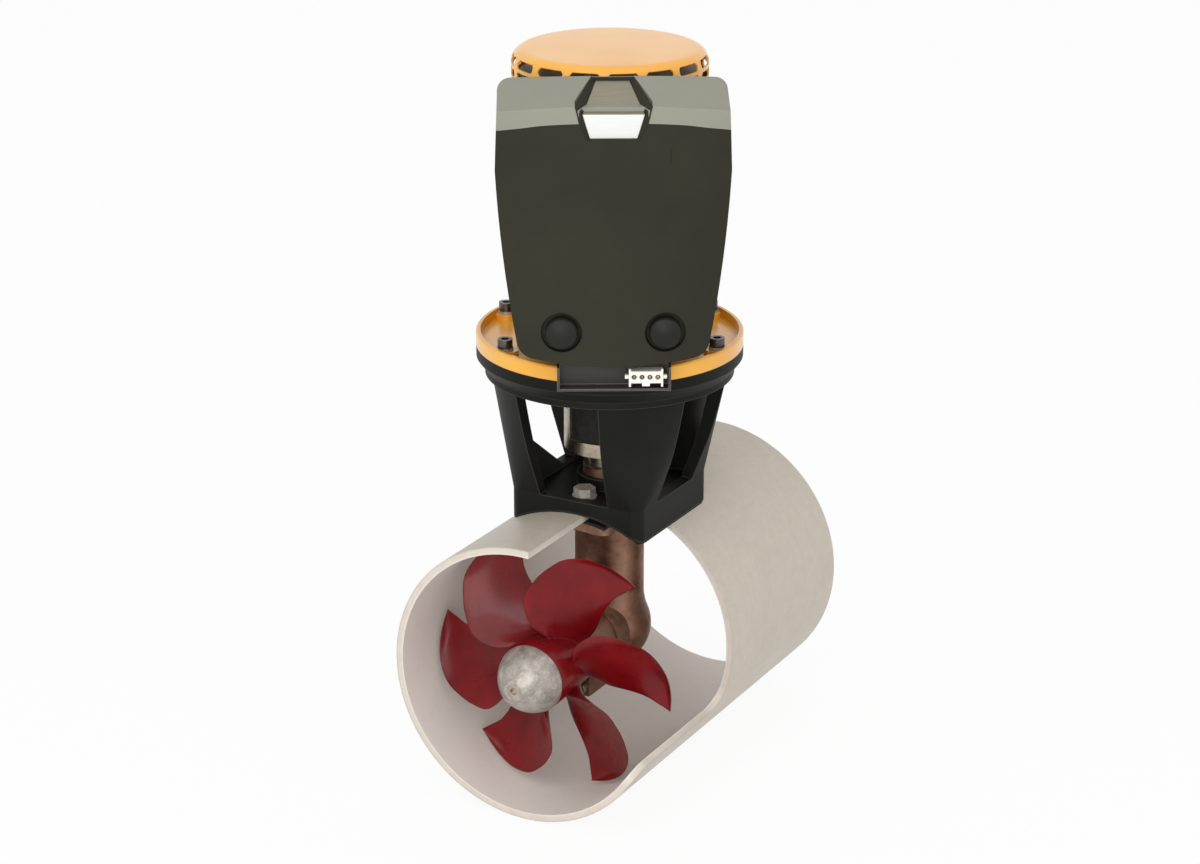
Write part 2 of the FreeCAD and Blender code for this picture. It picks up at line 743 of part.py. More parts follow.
def add_tail_leg():
    """Bronze casting: saddle under the crown, round column, and a gear case open to the near side."""
    body = new_body("tail_leg")
    top = "tunnel_radius - tunnel_wall - inner_seal"
    plate = outline(new_sketch(body, "saddle_block", "YZ", away="-saddle_half_length"), [
        ("-saddle_half_width", "0.7*tunnel_radius"), ("saddle_half_width", "0.7*tunnel_radius"),
        ("saddle_half_width", "tunnel_radius"), ("-saddle_half_width", "tunnel_radius"),
    ])
    pad(body, "saddle_plate", plate, "2*saddle_half_length")
    crown = outline(new_sketch(body, "saddle_crown", "YZ", away="-saddle_half_length - 1"), [
        ("-2*tunnel_radius", "-2*tunnel_radius"), ("2*tunnel_radius", "-2*tunnel_radius"),
        ("2*tunnel_radius", "2*tunnel_radius"), ("-2*tunnel_radius", "2*tunnel_radius"),
    ])
    circle(crown, top)
    pocket(body, "crown_trim", crown, "2*saddle_half_length + 2", forwards=True)
    belly = circle(new_sketch(body, "saddle_belly", "YZ", away="-saddle_half_length - 1"),
                   top + " - saddle_thickness")
    pocket(body, "belly_trim", belly, "2*saddle_half_length + 2", forwards=True)
    reach, width = size("saddle_half_length"), size("saddle_half_width")
    soften(body, "saddle_corners",
           lambda edge, middle: abs(abs(middle.x) - reach) < 0.01 and abs(abs(middle.y) - width) < 0.01,
           "saddle_half_width/2")
    add_solid(body, "AdditiveCylinder", "column", Radius="column_radius", Height=top + " - saddle_thickness/2")
    add_solid(body, "AdditiveSphere", "bulb", Radius="bulb_radius")
    doc.recompute()
    column, bulb = size("column_radius"), size("bulb_radius")
    shoulder = math.sqrt(bulb * bulb - column * column)
    soften(body, "bulb_flare", lambda edge, middle: abs(middle.z - shoulder) < 0.05, "1.4*bulb_radius")
    add_solid(body, "AdditiveCylinder", "case", ("-case_joint", "0", "0"), ALONG_X,
              Radius="case_radius", Height="case_joint")
    add_solid(body, "AdditiveBox", "lug", ("-case_joint", "-lug_half_width", "-lug_bottom"),
              Length="lug_length - (lug_bottom - lug_screw_level)", Width="2*lug_half_width",
              Height="lug_bottom - case_cavity - 1")
    add_solid(body, "AdditiveCylinder", "head", ("0", "0", "0.7*tunnel_radius"), Radius="head_radius",
              Height="head_level - 0.7*tunnel_radius")
    add_solid(body, "SubtractiveCylinder", "case_hollow", ("-case_joint - 1", "0", "0"), ALONG_X,
              Radius="case_cavity", Height="case_joint + 1 + case_depth")
    add_solid(body, "SubtractiveCylinder", "rear_seat", ("case_depth - 1", "0", "0"), ALONG_X,
              Radius="rear_bush_radius", Height="rear_bush_length + 1")
    add_solid(body, "SubtractiveCylinder", "chamber", Radius="pinion_chamber", Height="pinion_chamber_top")
    add_solid(body, "SubtractiveCylinder", "shaft_bore", Radius="column_bore", Height="head_level")
    add_solid(body, "SubtractiveCylinder", "bearing_seat", ("0", "0", "top_bearing_bottom"),
              Radius="top_bearing_radius", Height="head_level")
    add_solid(body, "SubtractiveCylinder", "lug_bore", ("-case_joint - 1", "0", "-lug_screw_level"), ALONG_X,
              Radius="lug_screw_radius + seat_gap", Height="lug_length/2")
    bolts = new_sketch(body, "saddle_holes", "XY", away="0.7*tunnel_radius")
    circle(bolts, "foot_bolt_radius + seat_gap", "-foot_bolt_reach")
    circle(bolts, "foot_bolt_radius + seat_gap", "foot_bolt_reach")
    pocket(body, "saddle_bores", bolts, "tunnel_radius", forwards=True)
    keep(body, "tail_leg")


def add_gear_case_cap():
    """The front cap: carries the propeller shaft's bearing and seal, and clamps on by a lug below."""
    body = lathe("gear_case_cap", [
        ("-cap_front", "prop_shaft_radius + 1"), ("-cap_front", "cap_radius"), ("-case_joint", "cap_radius"),
        ("-case_joint", "case_cavity - seat_gap"), ("-case_joint + cap_spigot", "case_cavity - seat_gap"),
        ("-case_joint + cap_spigot", "front_bearing_radius + seat_gap"),
        ("-front_bearing_front", "front_bearing_radius + seat_gap"), ("-front_bearing_front", "13"),
        ("-cap_front + 1.6", "13"), ("-cap_front + 1.6", "prop_shaft_radius + 1"),
    ], lie="along")
    add_solid(body, "AdditiveBox", "cap_lug", ("-case_joint - 6", "-lug_half_width", "-lug_bottom"),
              Length="6", Width="2*lug_half_width", Height="lug_bottom - front_bearing_radius - 1")
    add_solid(body, "SubtractiveCylinder", "cap_lug_bore", ("-case_joint - 7", "0", "-lug_screw_level"), ALONG_X,
              Radius="lug_screw_radius + seat_gap", Height="8")
    keep(body, "gear_case_cap")


def add_lug_screw():
    """The socket screw that pulls the cap's lug against the gear case."""
    shank = rod("lug_shank", "lug_screw_radius", "6 + lug_length/2 - 2", ("-case_joint - 6", "0", "-lug_screw_level"),
                ALONG_X)
    head = rod("lug_head", "lug_screw_head", "2*lug_screw_radius", ("-case_joint - 6", "0", "-lug_screw_level"),
               ALONG_MINUS_X)
    socket = rod("lug_socket", "lug_screw_radius*0.8", "2*lug_screw_radius",
                 ("-case_joint - 6 - lug_screw_radius", "0", "-lug_screw_level"), ALONG_MINUS_X)
    whole = fused("lug_screw_solid", [shank, head])
    keep(cut("lug_screw_cut", whole, [socket]), "lug_screw")


def add_leg_bearings():
    """Bearings, bushes and seals that stay in the tail leg and its cap."""
    bore = "drive_shaft_radius + running_gap"
    rear_bore = "prop_shaft_rear_radius + running_gap"
    front_bore = "prop_shaft_radius + running_gap"
    keep(pipe("top_bearing_ring", "top_bearing_radius - seat_gap", bore, "top_bearing_height",
              ("0", "0", "top_bearing_bottom")), "leg_top_bearing")
    keep(pipe("shaft_seal_ring", "top_bearing_radius - seat_gap", bore, "shaft_seal_height",
              ("0", "0", "top_bearing_bottom + top_bearing_height + 0.5")), "drive_shaft_seal")
    keep(pipe("lower_bush_ring", "column_bore - seat_gap", bore, "lower_bush_top - lower_bush_bottom",
              ("0", "0", "lower_bush_bottom")), "leg_lower_bush")
    keep(pipe("rear_bush_ring", "rear_bush_radius - seat_gap", rear_bore, "rear_bush_length",
              ("case_depth", "0", "0"), ALONG_X), "prop_rear_bush")
    keep(pipe("front_bearing_ring", "front_bearing_radius", front_bore, "front_bearing_length",
              ("-front_bearing_front", "0", "0"), ALONG_X), "prop_front_bearing")
    keep(pipe("front_seal_ring", "13 - seat_gap", front_bore, "front_seal_length",
              ("-cap_front + 2", "0", "0"), ALONG_X), "prop_shaft_seal")


# Bevel gears, drive shaft and coupling


def gear_angles():
    """Half cone angles and the cone distance of the bevel pair, in degrees and millimetres."""
    module = size("gear_module")
    pinion, wheel = size("pinion_teeth"), size("wheel_teeth")
    distance = module / 2 * math.hypot(pinion, wheel)
    return math.atan2(pinion, wheel), math.atan2(wheel, pinion), distance


def bevel_gear(name, teeth, cone_angle, plane, role, bore, hub_radius, hub_end, first_tooth):
    """A straight bevel gear whose cone's apex is the origin; its teeth taper towards the apex."""
    module = size("gear_module")
    distance = gear_angles()[2]
    count = size(teeth)
    tip_angle = cone_angle + math.atan(0.8 * module / distance)
    root_angle = cone_angle - math.atan(1.1 * module / distance)
    back = distance * math.cos(cone_angle)
    shrink = 1 - size("gear_face") / distance
    root, tip = back * math.tan(root_angle), back * math.tan(tip_angle)
    blank = [Vector(bore, 0, back * shrink), Vector(root * shrink, 0, back * shrink), Vector(root, 0, back),
             Vector(hub_radius, 0, back), Vector(hub_radius, 0, hub_end), Vector(bore, 0, hub_end)]
    solid = Part.Face(Part.makePolygon(blank + blank[:1])).revolve(Vector(0, 0, 0), Vector(0, 0, 1), 360)
    half = size("tooth_share") * math.pi * module / 2
    flank = math.tan(math.radians(20)) * module
    wide, narrow = half + 1.1 * flank, half - 0.8 * flank
    sunk = root * 0.94
    corners = [Vector(sunk, -wide, back), Vector(root, -wide, back), Vector(tip, -narrow, back),
               Vector(tip, narrow, back), Vector(root, wide, back), Vector(sunk, wide, back)]
    large = Part.makePolygon(corners + corners[:1])
    small = Part.makePolygon([corner * shrink for corner in corners + corners[:1]])
    tooth = Part.makeLoft([small, large], True, True)
    ring = []
    for index in range(int(count)):
        copy = tooth.copy()
        copy.rotate(Vector(0, 0, 0), Vector(0, 0, 1), first_tooth + index * 360 / count)
        ring.append(copy)
    gear = doc.addObject("Part::Feature", name)
    gear.Shape = solid.fuse(ring).removeSplitter()
    turn_to_x = FreeCAD.Rotation(Vector(0, 1, 0), 90)
    gear.Placement = FreeCAD.Placement(Vector(0, 0, 0), turn_to_x if role == "X" else FreeCAD.Rotation())
    return keep(gear, name)


def add_bevel_gears():
    """The pinion on the drive shaft and the wheel on the propeller shaft."""
    pinion_angle, wheel_angle, distance = gear_angles()
    pinion_back = distance * math.cos(pinion_angle)
    bevel_gear("bevel_pinion", "pinion_teeth", pinion_angle, "XZ", "Z", size("drive_shaft_radius") - 2.5,
               size("drive_shaft_radius") + 1, pinion_back + 5, 0)
    bevel_gear("bevel_wheel", "wheel_teeth", wheel_angle, "XZ", "X", size("prop_shaft_rear_radius"),
               size("prop_shaft_rear_radius") + 4, size("case_depth") - size("moving_gap"),
               180 / size("wheel_teeth"))


def add_drive_shaft():
    """The vertical shaft from the pinion up into the coupling."""
    pinion_back = "gear_module/2*wheel_teeth"
    pinion_small = pinion_back + "*(1 - 2*gear_face/(gear_module*sqrt(pinion_teeth^2 + wheel_teeth^2)))"
    keep(lathe("drive_shaft", [
        ("0", pinion_small), ("drive_shaft_radius - 2.5", pinion_small),
        ("drive_shaft_radius - 2.5", pinion_back + " + 5"), ("drive_shaft_radius", pinion_back + " + 5"),
        ("drive_shaft_radius", "cup_level + cup_plate"), ("0", "cup_level + cup_plate"),
    ]), "drive_shaft")


def coupling_top():
    """Level at which the coupling's upper half starts."""
    return "cup_level + cup_plate + rubber_height + 1"


def add_coupling():
    """A steel cup with two jaws, a rubber block, and an upper half with two pins in the rubber."""
    base = "cup_level + cup_plate"
    neck = pipe("cup_neck", "cup_neck_radius", "drive_shaft_radius", "cup_level + 1 - cup_neck_bottom",
                ("0", "0", "cup_neck_bottom"))
    plate = pipe("cup_disc", "cup_radius", "drive_shaft_radius", "cup_plate", ("0", "0", "cup_level"))
    jaws = []
    slots = []
    for side, start in (("left", "90 - motor_turn - jaw_angle/2 - 30"), ("right", "270 - motor_turn - jaw_angle/2 - 30")):
        jaw = pipe(side + "_jaw", "cup_radius", "jaw_inner", "jaw_height + 1",
                   ("0", "0", base + " - 1"), ((0, 0, 1), start), "jaw_angle")
        slot = rod(side + "_slot", "cup_radius + 1", "rubber_height + 2", ("0", "0", base), ((0, 0, 1), start),
                   "jaw_angle")
        jaws.append(jaw)
        slots.append(slot)
    whole = fused("cup_solid", [neck, plate] + jaws)
    keep(whole, "coupling_cup")
    rubber = rod("rubber_block", "rubber_radius", "rubber_height", ("0", "0", base))
    core = rod("rubber_core", "jaw_inner - seat_gap", "rubber_height", ("0", "0", base))
    trimmed = cut("rubber_sleeve", rubber, slots)
    pins = []
    bores = []
    for side, sign in (("near", "-"), ("far", "")):
        spot = (sign + "coupling_pin_circle", "0", base + " + 3")
        pins.append(rod(side + "_pin", "coupling_pin_radius", "rubber_height", spot))
        bores.append(rod(side + "_pin_bore", "coupling_pin_radius + seat_gap", "rubber_height", spot))
    rubber_whole = fused("rubber_whole", [trimmed, core])
    keep(cut("rubber_cut", rubber_whole, bores), "coupling_rubber")
    top = coupling_top()
    disc = pipe("top_disc", "cup_radius", "motor_shaft_radius", "top_plate", ("0", "0", top))
    hub = pipe("top_hub", "top_hub_radius", "motor_shaft_radius", "top_plate + top_hub_height", ("0", "0", top))
    screw_level = "(%s) + top_plate + top_hub_height/2" % top
    bore = rod("screw_bore", "coupling_screw_radius + seat_gap", "top_hub_radius + 1", ("0", "0", screw_level),
               ALONG_X)
    upper = fused("top_solid", [disc, hub] + pins)
    keep(cut("top_cut", upper, [bore]), "coupling_top")
    keep(rod("set_screw", "coupling_screw_radius", "top_hub_radius - motor_shaft_radius - 0.5",
             ("motor_shaft_radius", "0", screw_level), ALONG_X), "coupling_screw")


# Propeller and its shaft


def add_prop_shaft():
    """The horizontal shaft from the rear bush to the stub that carries the anode."""
    body = lathe("prop_shaft", [
        ("-hub_front - 8", "anode_screw_radius"), ("-hub_front - 8", "prop_seat_radius - 2"),
        ("-hub_front", "prop_seat_radius - 2"), ("-hub_front", "prop_seat_radius"),
        ("-hub_rear", "prop_seat_radius"), ("-hub_rear", "prop_shaft_radius"),
        ("-front_bearing_front + front_bearing_length + 1", "prop_shaft_radius"),
        ("-front_bearing_front + front_bearing_length + 1", "prop_shaft_rear_radius"),
        ("case_depth + rear_bush_length - 0.5", "prop_shaft_rear_radius"),
        ("case_depth + rear_bush_length - 0.5", "0"), ("-hub_front + 6", "0"),
        ("-hub_front + 6", "anode_screw_radius"),
    ], lie="along")
    add_solid(body, "SubtractiveCylinder", "pin_hole", ("-pin_place", "0", "-2*prop_seat_radius"),
              Radius="pin_radius + seat_gap", Height="4*prop_seat_radius")
    place(body, axis=(1, 0, 0), turn="blade_phase")
    keep(body, "prop_shaft")


def blade_section(body, name, radius, chord, skew, thickness, camber):
    """One cross-section of the upright blade: two arcs with blunt ends, at a distance from the axis."""
    sketch = new_sketch(body, name, "XY", away=radius)
    pitch = "atan(blade_pitch/(2*pi*(%s)))" % radius
    half = "(%s)/2" % chord
    blunt = "0.5"

    def spot(along, out):
        """A point given along the chord and out from its pressure side."""
        return ("-blade_centre - (%s)*sin(%s) + (%s)*cos(%s)" % (along, pitch, out, pitch),
                "(%s)*cos(%s) + (%s)*sin(%s)" % (along, pitch, out, pitch))

    back_rise = "(%s + %s/2 - %s)" % (camber, thickness, blunt)
    face_rise = "(%s - %s/2 + %s)" % (camber, thickness, blunt)
    back_radius = "-((%s)^2 + %s^2)/(2*%s)" % (half, back_rise, back_rise)
    face_radius = "((%s)^2 + %s^2)/(2*%s)" % (half, face_rise, face_rise)
    lead, trail = "(%s + %s)" % (skew, half), "(%s - %s)" % (skew, half)
    spots = [spot(trail, "-" + blunt) + (face_radius,), spot(lead, "-" + blunt),
             spot(lead, blunt) + (back_radius,), spot(trail, blunt)]
    return outline(sketch, spots)


def add_propeller():
    """A tapered hub and six skewed blades, trimmed to the circle that turns inside the tunnel."""
    body = new_body("propeller")
    hub = outline(new_sketch(body, "hub_profile", "XZ"), [
        ("-hub_front", "prop_seat_radius + seat_gap"), ("-hub_front", "hub_front_radius"),
        ("-hub_rear", "hub_rear_radius"), ("-hub_rear", "prop_seat_radius + seat_gap"),
    ])
    blade_sections = [
        ("0.75*hub_rear_radius", "26", "2", "2*blade_thickness", "4.5"),
        ("0.42*blade_tip", "40", "2", "1.5*blade_thickness", "5"),
        ("0.62*blade_tip", "51", "0", "blade_thickness", "5"),
        ("0.82*blade_tip", "57", "-4", "0.8*blade_thickness", "5"),
        ("1.03*blade_tip", "58", "-10", "0.6*blade_thickness", "5"),
    ]
    sketches = []
    for index, numbers in enumerate(blade_sections, start=1):
        sketches.append(blade_section(body, "blade_section_%d" % index, *numbers))
    blade = feature(body, "AdditiveLoft", "blade", sketches[0])
    blade.Sections = [(sketch, [""]) for sketch in sketches[1:]]
    trim = outline(new_sketch(body, "tip_trim_profile", "XZ"), [
        ("-2*blade_centre", "blade_tip"), ("0", "blade_tip"), ("0", "2*blade_tip"),
        ("-2*blade_centre", "2*blade_tip"),
    ])
    polar(body, "blades", [blade], "blade_count", "X_Axis")
    revolve(body, "tip_trim", trim, "H_Axis", "Groove")
    revolve(body, "hub", hub, "H_Axis")
    add_solid(body, "SubtractiveBox", "pin_slot", ("-pin_place - pin_radius - seat_gap", "-pin_radius - seat_gap",
                                                   "-pin_length/2 - seat_gap"),
              Length="pin_place + 2*pin_radius - hub_rear", Width="2*(pin_radius + seat_gap)",
              Height="pin_length + 2*seat_gap")
    bore = add_solid(body, "SubtractiveCylinder", "shaft_bore_clear", ("-hub_front - 1", "0", "0"), ALONG_X,
                     Radius="prop_seat_radius + seat_gap", Height="hub_front")
    body.Tip = bore
    place(body, axis=(1, 0, 0), turn="blade_phase")
    keep(body, "propeller")


def add_drive_pin():
    """The shear pin across the shaft."""
    pin_rod = rod("drive_pin_rod", "pin_radius", "pin_length", ("-pin_place", "0", "-pin_length/2"))
    carrier = group("drive_pin_turned", [pin_rod])
    place(carrier, axis=(1, 0, 0), turn="blade_phase")
    keep(carrier, "drive_pin")


def add_anode():
    """The zinc cone in front of the hub, and the screw that holds it."""
    keep(lathe("zinc_anode", [
        ("-hub_front", "prop_seat_radius - 2 + seat_gap"), ("-hub_front", "hub_front_radius", "36"),
        ("-anode_tip", "anode_nose_radius"), ("-anode_tip", "anode_screw_head + seat_gap"),
        ("-anode_tip + 4", "anode_screw_head + seat_gap"), ("-anode_tip + 4", "anode_screw_radius + seat_gap"),
        ("-hub_front - 8.5", "anode_screw_radius + seat_gap"), ("-hub_front - 8.5", "prop_seat_radius - 2 + seat_gap"),
    ], lie="along"), "zinc_anode")
    shank = rod("anode_shank", "anode_screw_radius", "anode_tip - 4 - hub_front + 5",
                ("-anode_tip + 4", "0", "0"), ALONG_X)
    head = rod("anode_head", "anode_screw_head", "4", ("-anode_tip", "0", "0"), ALONG_X)
    socket = rod("anode_socket", "anode_screw_radius*0.8", "2.5", ("-anode_tip - 0.1", "0", "0"), ALONG_X)
    keep(cut("anode_screw_cut", fused("anode_screw_solid", [shank, head]), [socket]), "anode_screw")


# Motor


def screw_with_socket(name, radius, length, head_radius, head_height, socket, at, lie=UPRIGHT):
    """A socket cap screw whose head stands on the point and whose shank runs the other way."""
    x, y, z = at
    shank = rod(name + "_shank", radius, length, (x, y, "%s - (%s)" % (z, length)))
    head = rod(name + "_head", head_radius, head_height, at)
    hollow = hexagon(name + "_socket", socket, "(%s)*0.6" % head_height, (x, y, "%s + 0.41*(%s)" % (z, head_height)))
    return cut(name, fused(name + "_solid", [shank, head]), [hollow])


def flange_spot(index, level):
    """Place of one of the flange screws."""
    turn = "(30 + %d*360/screw_count)" % index
    return ("screw_circle*cos%s" % turn, "screw_circle*sin%s" % turn, level)


def add_motor_flange():
    """The cast dish that joins the motor to the stand, with a boss for each screw."""
    base = "flange_level"
    floor = base + " + flange_floor"
    body = lathe("motor_flange", [
        ("bearing_radius - 4", base), ("flange_radius", base),
        ("flange_radius", base + " + flange_rim - 1"), ("flange_radius - 1", base + " + flange_rim"),
        ("flange_radius - flange_wall + 0.5", base + " + flange_rim"), ("flange_radius - flange_wall", floor),
        ("motor_radius - motor_wall", floor), ("motor_radius - motor_wall", floor + " + register_height"),
        ("motor_radius - motor_wall - 5", floor + " + register_height"), ("motor_radius - motor_wall - 5", floor),
        ("bearing_housing", floor), ("bearing_housing", floor + " + bearing_height"),
        ("bearing_radius + seat_gap", floor + " + bearing_height"), ("bearing_radius + seat_gap", base + " + 2"),
        ("bearing_radius - 4", base + " + 2"),
    ])
    boss = circle(new_sketch(body, "boss_outline", "XY", away=base + " + 1"), "boss_radius",
                  "(screw_circle - 1)*cos(30)", "(screw_circle - 1)*sin(30)")
    first = pad(body, "boss", boss, "boss_height - 1")
    polar(body, "bosses", [first], "screw_count")
    trim = outline(new_sketch(body, "boss_trim_profile", "XZ"), [
        ("flange_radius", base + " - 1"), ("2*flange_radius", base + " - 1"),
        ("2*flange_radius", base + " + 2*flange_rim"), ("flange_radius", base + " + 2*flange_rim"),
    ])
    revolve(body, "boss_trim", trim, "V_Axis", "Groove")
    hole = circle(new_sketch(body, "flange_hole_outline", "XY", away=base + " - 1"), "screw_radius + seat_gap",
                  "screw_circle*cos(30)", "screw_circle*sin(30)")
    bore = pocket(body, "flange_hole", hole, "boss_height + 2", forwards=True)
    polar(body, "flange_holes", [bore], "screw_count")
    keep(body, "motor_flange")


def add_flange_screws():
    """Six socket cap screws with washers that hold the flange to the stand."""
    screws = []
    washers = []
    seat = "flange_level + boss_height"
    for index in range(int(size("screw_count"))):
        name = "flange_screw_%d" % (index + 1)
        screws.append(screw_with_socket(name, "screw_radius", "screw_length", "screw_head_radius", "screw_head",
                                        "screw_socket", flange_spot(index, seat + " + washer")))
        washers.append(pipe("flange_washer_%d" % (index + 1), "washer_radius", "screw_radius + seat_gap", "washer",
                            flange_spot(index, seat)))
    keep(group("flange_screw_set", screws), "flange_screws")
    keep(group("flange_washer_set", washers), "flange_washers")


def add_motor_case():
    """The steel tube round the motor, which is also its magnetic yoke."""
    start = "flange_level + flange_floor"
    keep(pipe("case_tube", "motor_radius", "motor_radius - motor_wall", "motor_top - (%s)" % start,
              ("0", "0", start)), "motor_case")


def add_field():
    """Four pole shoes inside the case, each inside its flat coil."""
    shoes = []
    coils = []
    inner = "core_radius + pole_gap"
    height = "core_top - core_bottom"
    outer = "motor_radius - motor_wall"
    for index in range(int(size("pole_count"))):
        middle = "(%d*360/pole_count)" % index
        start = "%s - pole_angle/2" % middle
        shoe = pipe("shoe_%d" % (index + 1), outer, inner, height, ("0", "0", "core_bottom"),
                    ((0, 0, 1), start), "pole_angle")
        neck_cut = []
        for side, shift in (("low", ""), ("high", " + pole_angle - coil_angle")):
            neck_cut.append(rod("neck_cut_%d_%s" % (index + 1, side), outer + " + 1", height,
                                ("0", "0", "core_bottom"), ((0, 0, 1), start + shift), "coil_angle"))
        cheek = rod("cheek_%d" % (index + 1), inner + " + coil_thickness", height, ("0", "0", "core_bottom"),
                    ((0, 0, 1), start), "pole_angle")
        shoulders = cut("shoulders_%d" % (index + 1), group("neck_cuts_%d" % (index + 1), neck_cut), [cheek])
        shoes.append(cut("pole_shoe_%d" % (index + 1), shoe, [shoulders]))
        coil_low = "core_bottom - coil_thickness"
        coil = pipe("coil_%d" % (index + 1), outer + " - 0.5", inner + " + coil_thickness + 0.5",
                    height + " + 2*coil_thickness", ("0", "0", coil_low), ((0, 0, 1), start), "pole_angle")
        opening = rod("coil_opening_%d" % (index + 1), outer + " + 1", height, ("0", "0", "core_bottom"),
                      ((0, 0, 1), start + " + coil_angle"), "pole_angle - 2*coil_angle")
        coils.append(cut("field_coil_%d" % (index + 1), coil, [opening]))
    keep(group("pole_shoe_set", shoes), "field_poles")
    keep(group("field_coil_set", coils), "field_coils")


def add_armature():
    """Slotted core, its windings, and the commutator on the motor shaft."""
    body = new_body("armature_core")
    disc = new_sketch(body, "core_outline", "XY", away="core_bottom")
    circle(disc, "core_radius")
    circle(disc, "armature_shaft_radius")
    pad(body, "core_stack", disc, "core_top - core_bottom")
    slot = outline(new_sketch(body, "slot_outline", "XY", away="core_bottom - 1"), [
        ("core_radius - slot_depth", "-slot_width/2"), ("core_radius - 2", "-slot_width/2"),
        ("core_radius - 2", "-slot_width/6"), ("core_radius + 1", "-slot_width/6"),
        ("core_radius + 1", "slot_width/6"), ("core_radius - 2", "slot_width/6"),
        ("core_radius - 2", "slot_width/2"), ("core_radius - slot_depth", "slot_width/2"),
    ])
    first = pocket(body, "slot", slot, "core_top - core_bottom + 2", forwards=True)
    polar(body, "slots", [first], "slot_count")
    keep(body, "armature_core")

    winding = new_body("armature_windings")
    lower = outline(new_sketch(winding, "lower_end_profile", "XZ"), [
        ("core_radius - slot_depth", "core_bottom - 12"), ("core_radius - 4", "core_bottom - 12"),
        ("core_radius - 2.2", "core_bottom - 9"), ("core_radius - 2.2", "core_bottom"),
        ("core_radius - slot_depth", "core_bottom"),
    ])
    revolve(winding, "lower_end", lower)
    bar = outline(new_sketch(winding, "bar_outline", "XY", away="core_bottom - 0.5"), [
        ("core_radius - slot_depth + 0.1", "-slot_width/2 + 0.1"), ("core_radius - 2.2", "-slot_width/2 + 0.1"),
        ("core_radius - 2.2", "slot_width/2 - 0.1"), ("core_radius - slot_depth + 0.1", "slot_width/2 - 0.1"),
    ])
    first = pad(winding, "slot_bar", bar, "core_top - core_bottom + 1")
    polar(winding, "slot_bars", [first], "slot_count")
    upper = outline(new_sketch(winding, "upper_end_profile", "XZ"), [
        ("core_radius - slot_depth", "core_top"), ("core_radius - 2.2", "core_top"),
        ("core_radius - 2.2", "core_top + 8"), ("commutator_radius + 3", "commutator_bottom - 6"),
        ("commutator_radius - 3", "commutator_bottom - 6"),
    ])
    revolve(winding, "upper_end", upper)
    keep(winding, "armature_windings")

    bars = new_body("commutator")
    tube = new_sketch(bars, "commutator_outline", "XY", away="commutator_bottom")
    circle(tube, "commutator_radius")
    circle(tube, "armature_shaft_radius")
    pad(bars, "commutator_tube", tube, "commutator_height")
    groove = outline(new_sketch(bars, "mica_groove_outline", "XY", away="commutator_bottom - 1"), [
        ("commutator_radius - 2", "-0.4"), ("commutator_radius + 1", "-0.4"),
        ("commutator_radius + 1", "0.4"), ("commutator_radius - 2", "0.4"),
    ])
    first = pocket(bars, "mica_groove", groove, "commutator_height + 2", forwards=True)
    polar(bars, "mica_grooves", [first], "bar_count")
    keep(bars, "commutator")


def add_motor_shaft():
    """The armature's shaft, thinner in its two bearings and in the coupling."""
    low_seat = "flange_level + flange_floor + bearing_height"
    top_seat = "shield_top - shield_plate - bearing_height + 4"
    keep(lathe("motor_shaft", [
        ("0", "%s + 1" % coupling_top()), ("motor_shaft_radius", "%s + 1" % coupling_top()),
        ("motor_shaft_radius", low_seat + " + 1"), ("armature_shaft_radius", low_seat + " + 1"),
        ("armature_shaft_radius", top_seat + " - 1"), ("motor_shaft_radius", top_seat + " - 1"),
        ("motor_shaft_radius", "shield_top - 2"), ("0", "shield_top - 2"),
    ]), "motor_shaft")


def add_motor_bearings():
    """The motor's lower bearing in the flange and the upper one in the end shield."""
    bore = "motor_shaft_radius + running_gap"
    keep(pipe("lower_bearing_ring", "bearing_radius", bore, "bearing_height", ("0", "0", "flange_level + 2.05")),
         "motor_lower_bearing")
    keep(pipe("upper_bearing_ring", "bearing_radius", bore, "bearing_height",
              ("0", "0", "shield_top - shield_plate - bearing_height + 4")), "motor_upper_bearing")


def add_end_shield():
    """The grey casting above the case: seat ring, windowed wall for the brushes and a bearing plate."""
    low = "motor_top"
    top = "shield_top"
    seat = "shield_wall_outer"
    bearing_low = "shield_top - shield_plate - bearing_height + 4"
    body = lathe("end_shield", [
        ("commutator_radius + 6", low), ("shield_seat_radius", low), ("shield_seat_radius", low + " + shield_ring"),
        (seat, low + " + shield_ring"), (seat, top), ("motor_shaft_radius + 2", top),
        ("motor_shaft_radius + 2", bearing_low + " + bearing_height + 0.05"),
        ("bearing_radius + seat_gap", bearing_low + " + bearing_height + 0.05"),
        ("bearing_radius + seat_gap", bearing_low), ("bearing_housing", bearing_low),
        ("bearing_housing", top + " - shield_plate"), (seat + " - shield_wall", top + " - shield_plate"),
        (seat + " - shield_wall", low + " + 4"), ("commutator_radius + 6", low + " + 4"),
    ], turn="motor_turn")
    window = outline(new_sketch(body, "brush_window_outline", "YZ"), [
        ("-0.45*shield_wall_outer", "brush_level - 3"), ("0.45*shield_wall_outer", "brush_level - 3"),
        ("0.45*shield_wall_outer", "brush_level + brush_height + 6"),
        ("-0.45*shield_wall_outer", "brush_level + brush_height + 6"),
    ])
    first = pocket(body, "brush_window", window, "shield_wall_outer + 1", forwards=True)
    polar(body, "brush_windows", [first], "pole_count")
    hole = circle(new_sketch(body, "vent_outline", "XY", away=top + " + 1"), "5", "0.66*shield_wall_outer*cos(45)",
                  "0.66*shield_wall_outer*sin(45)")
    vent = pocket(body, "vent", hole, "shield_plate + 2")
    polar(body, "vents", [vent], "pole_count")
    screw = add_solid(body, "SubtractiveCylinder", "cap_screw_hole", ("0", "0", low + " + shield_ring/2"), ALONG_X,
                      Radius="cap_screw_radius + seat_gap", Height="shield_seat_radius + 1")
    polar(body, "cap_screw_holes", [screw], "3")
    keep(body, "end_shield")


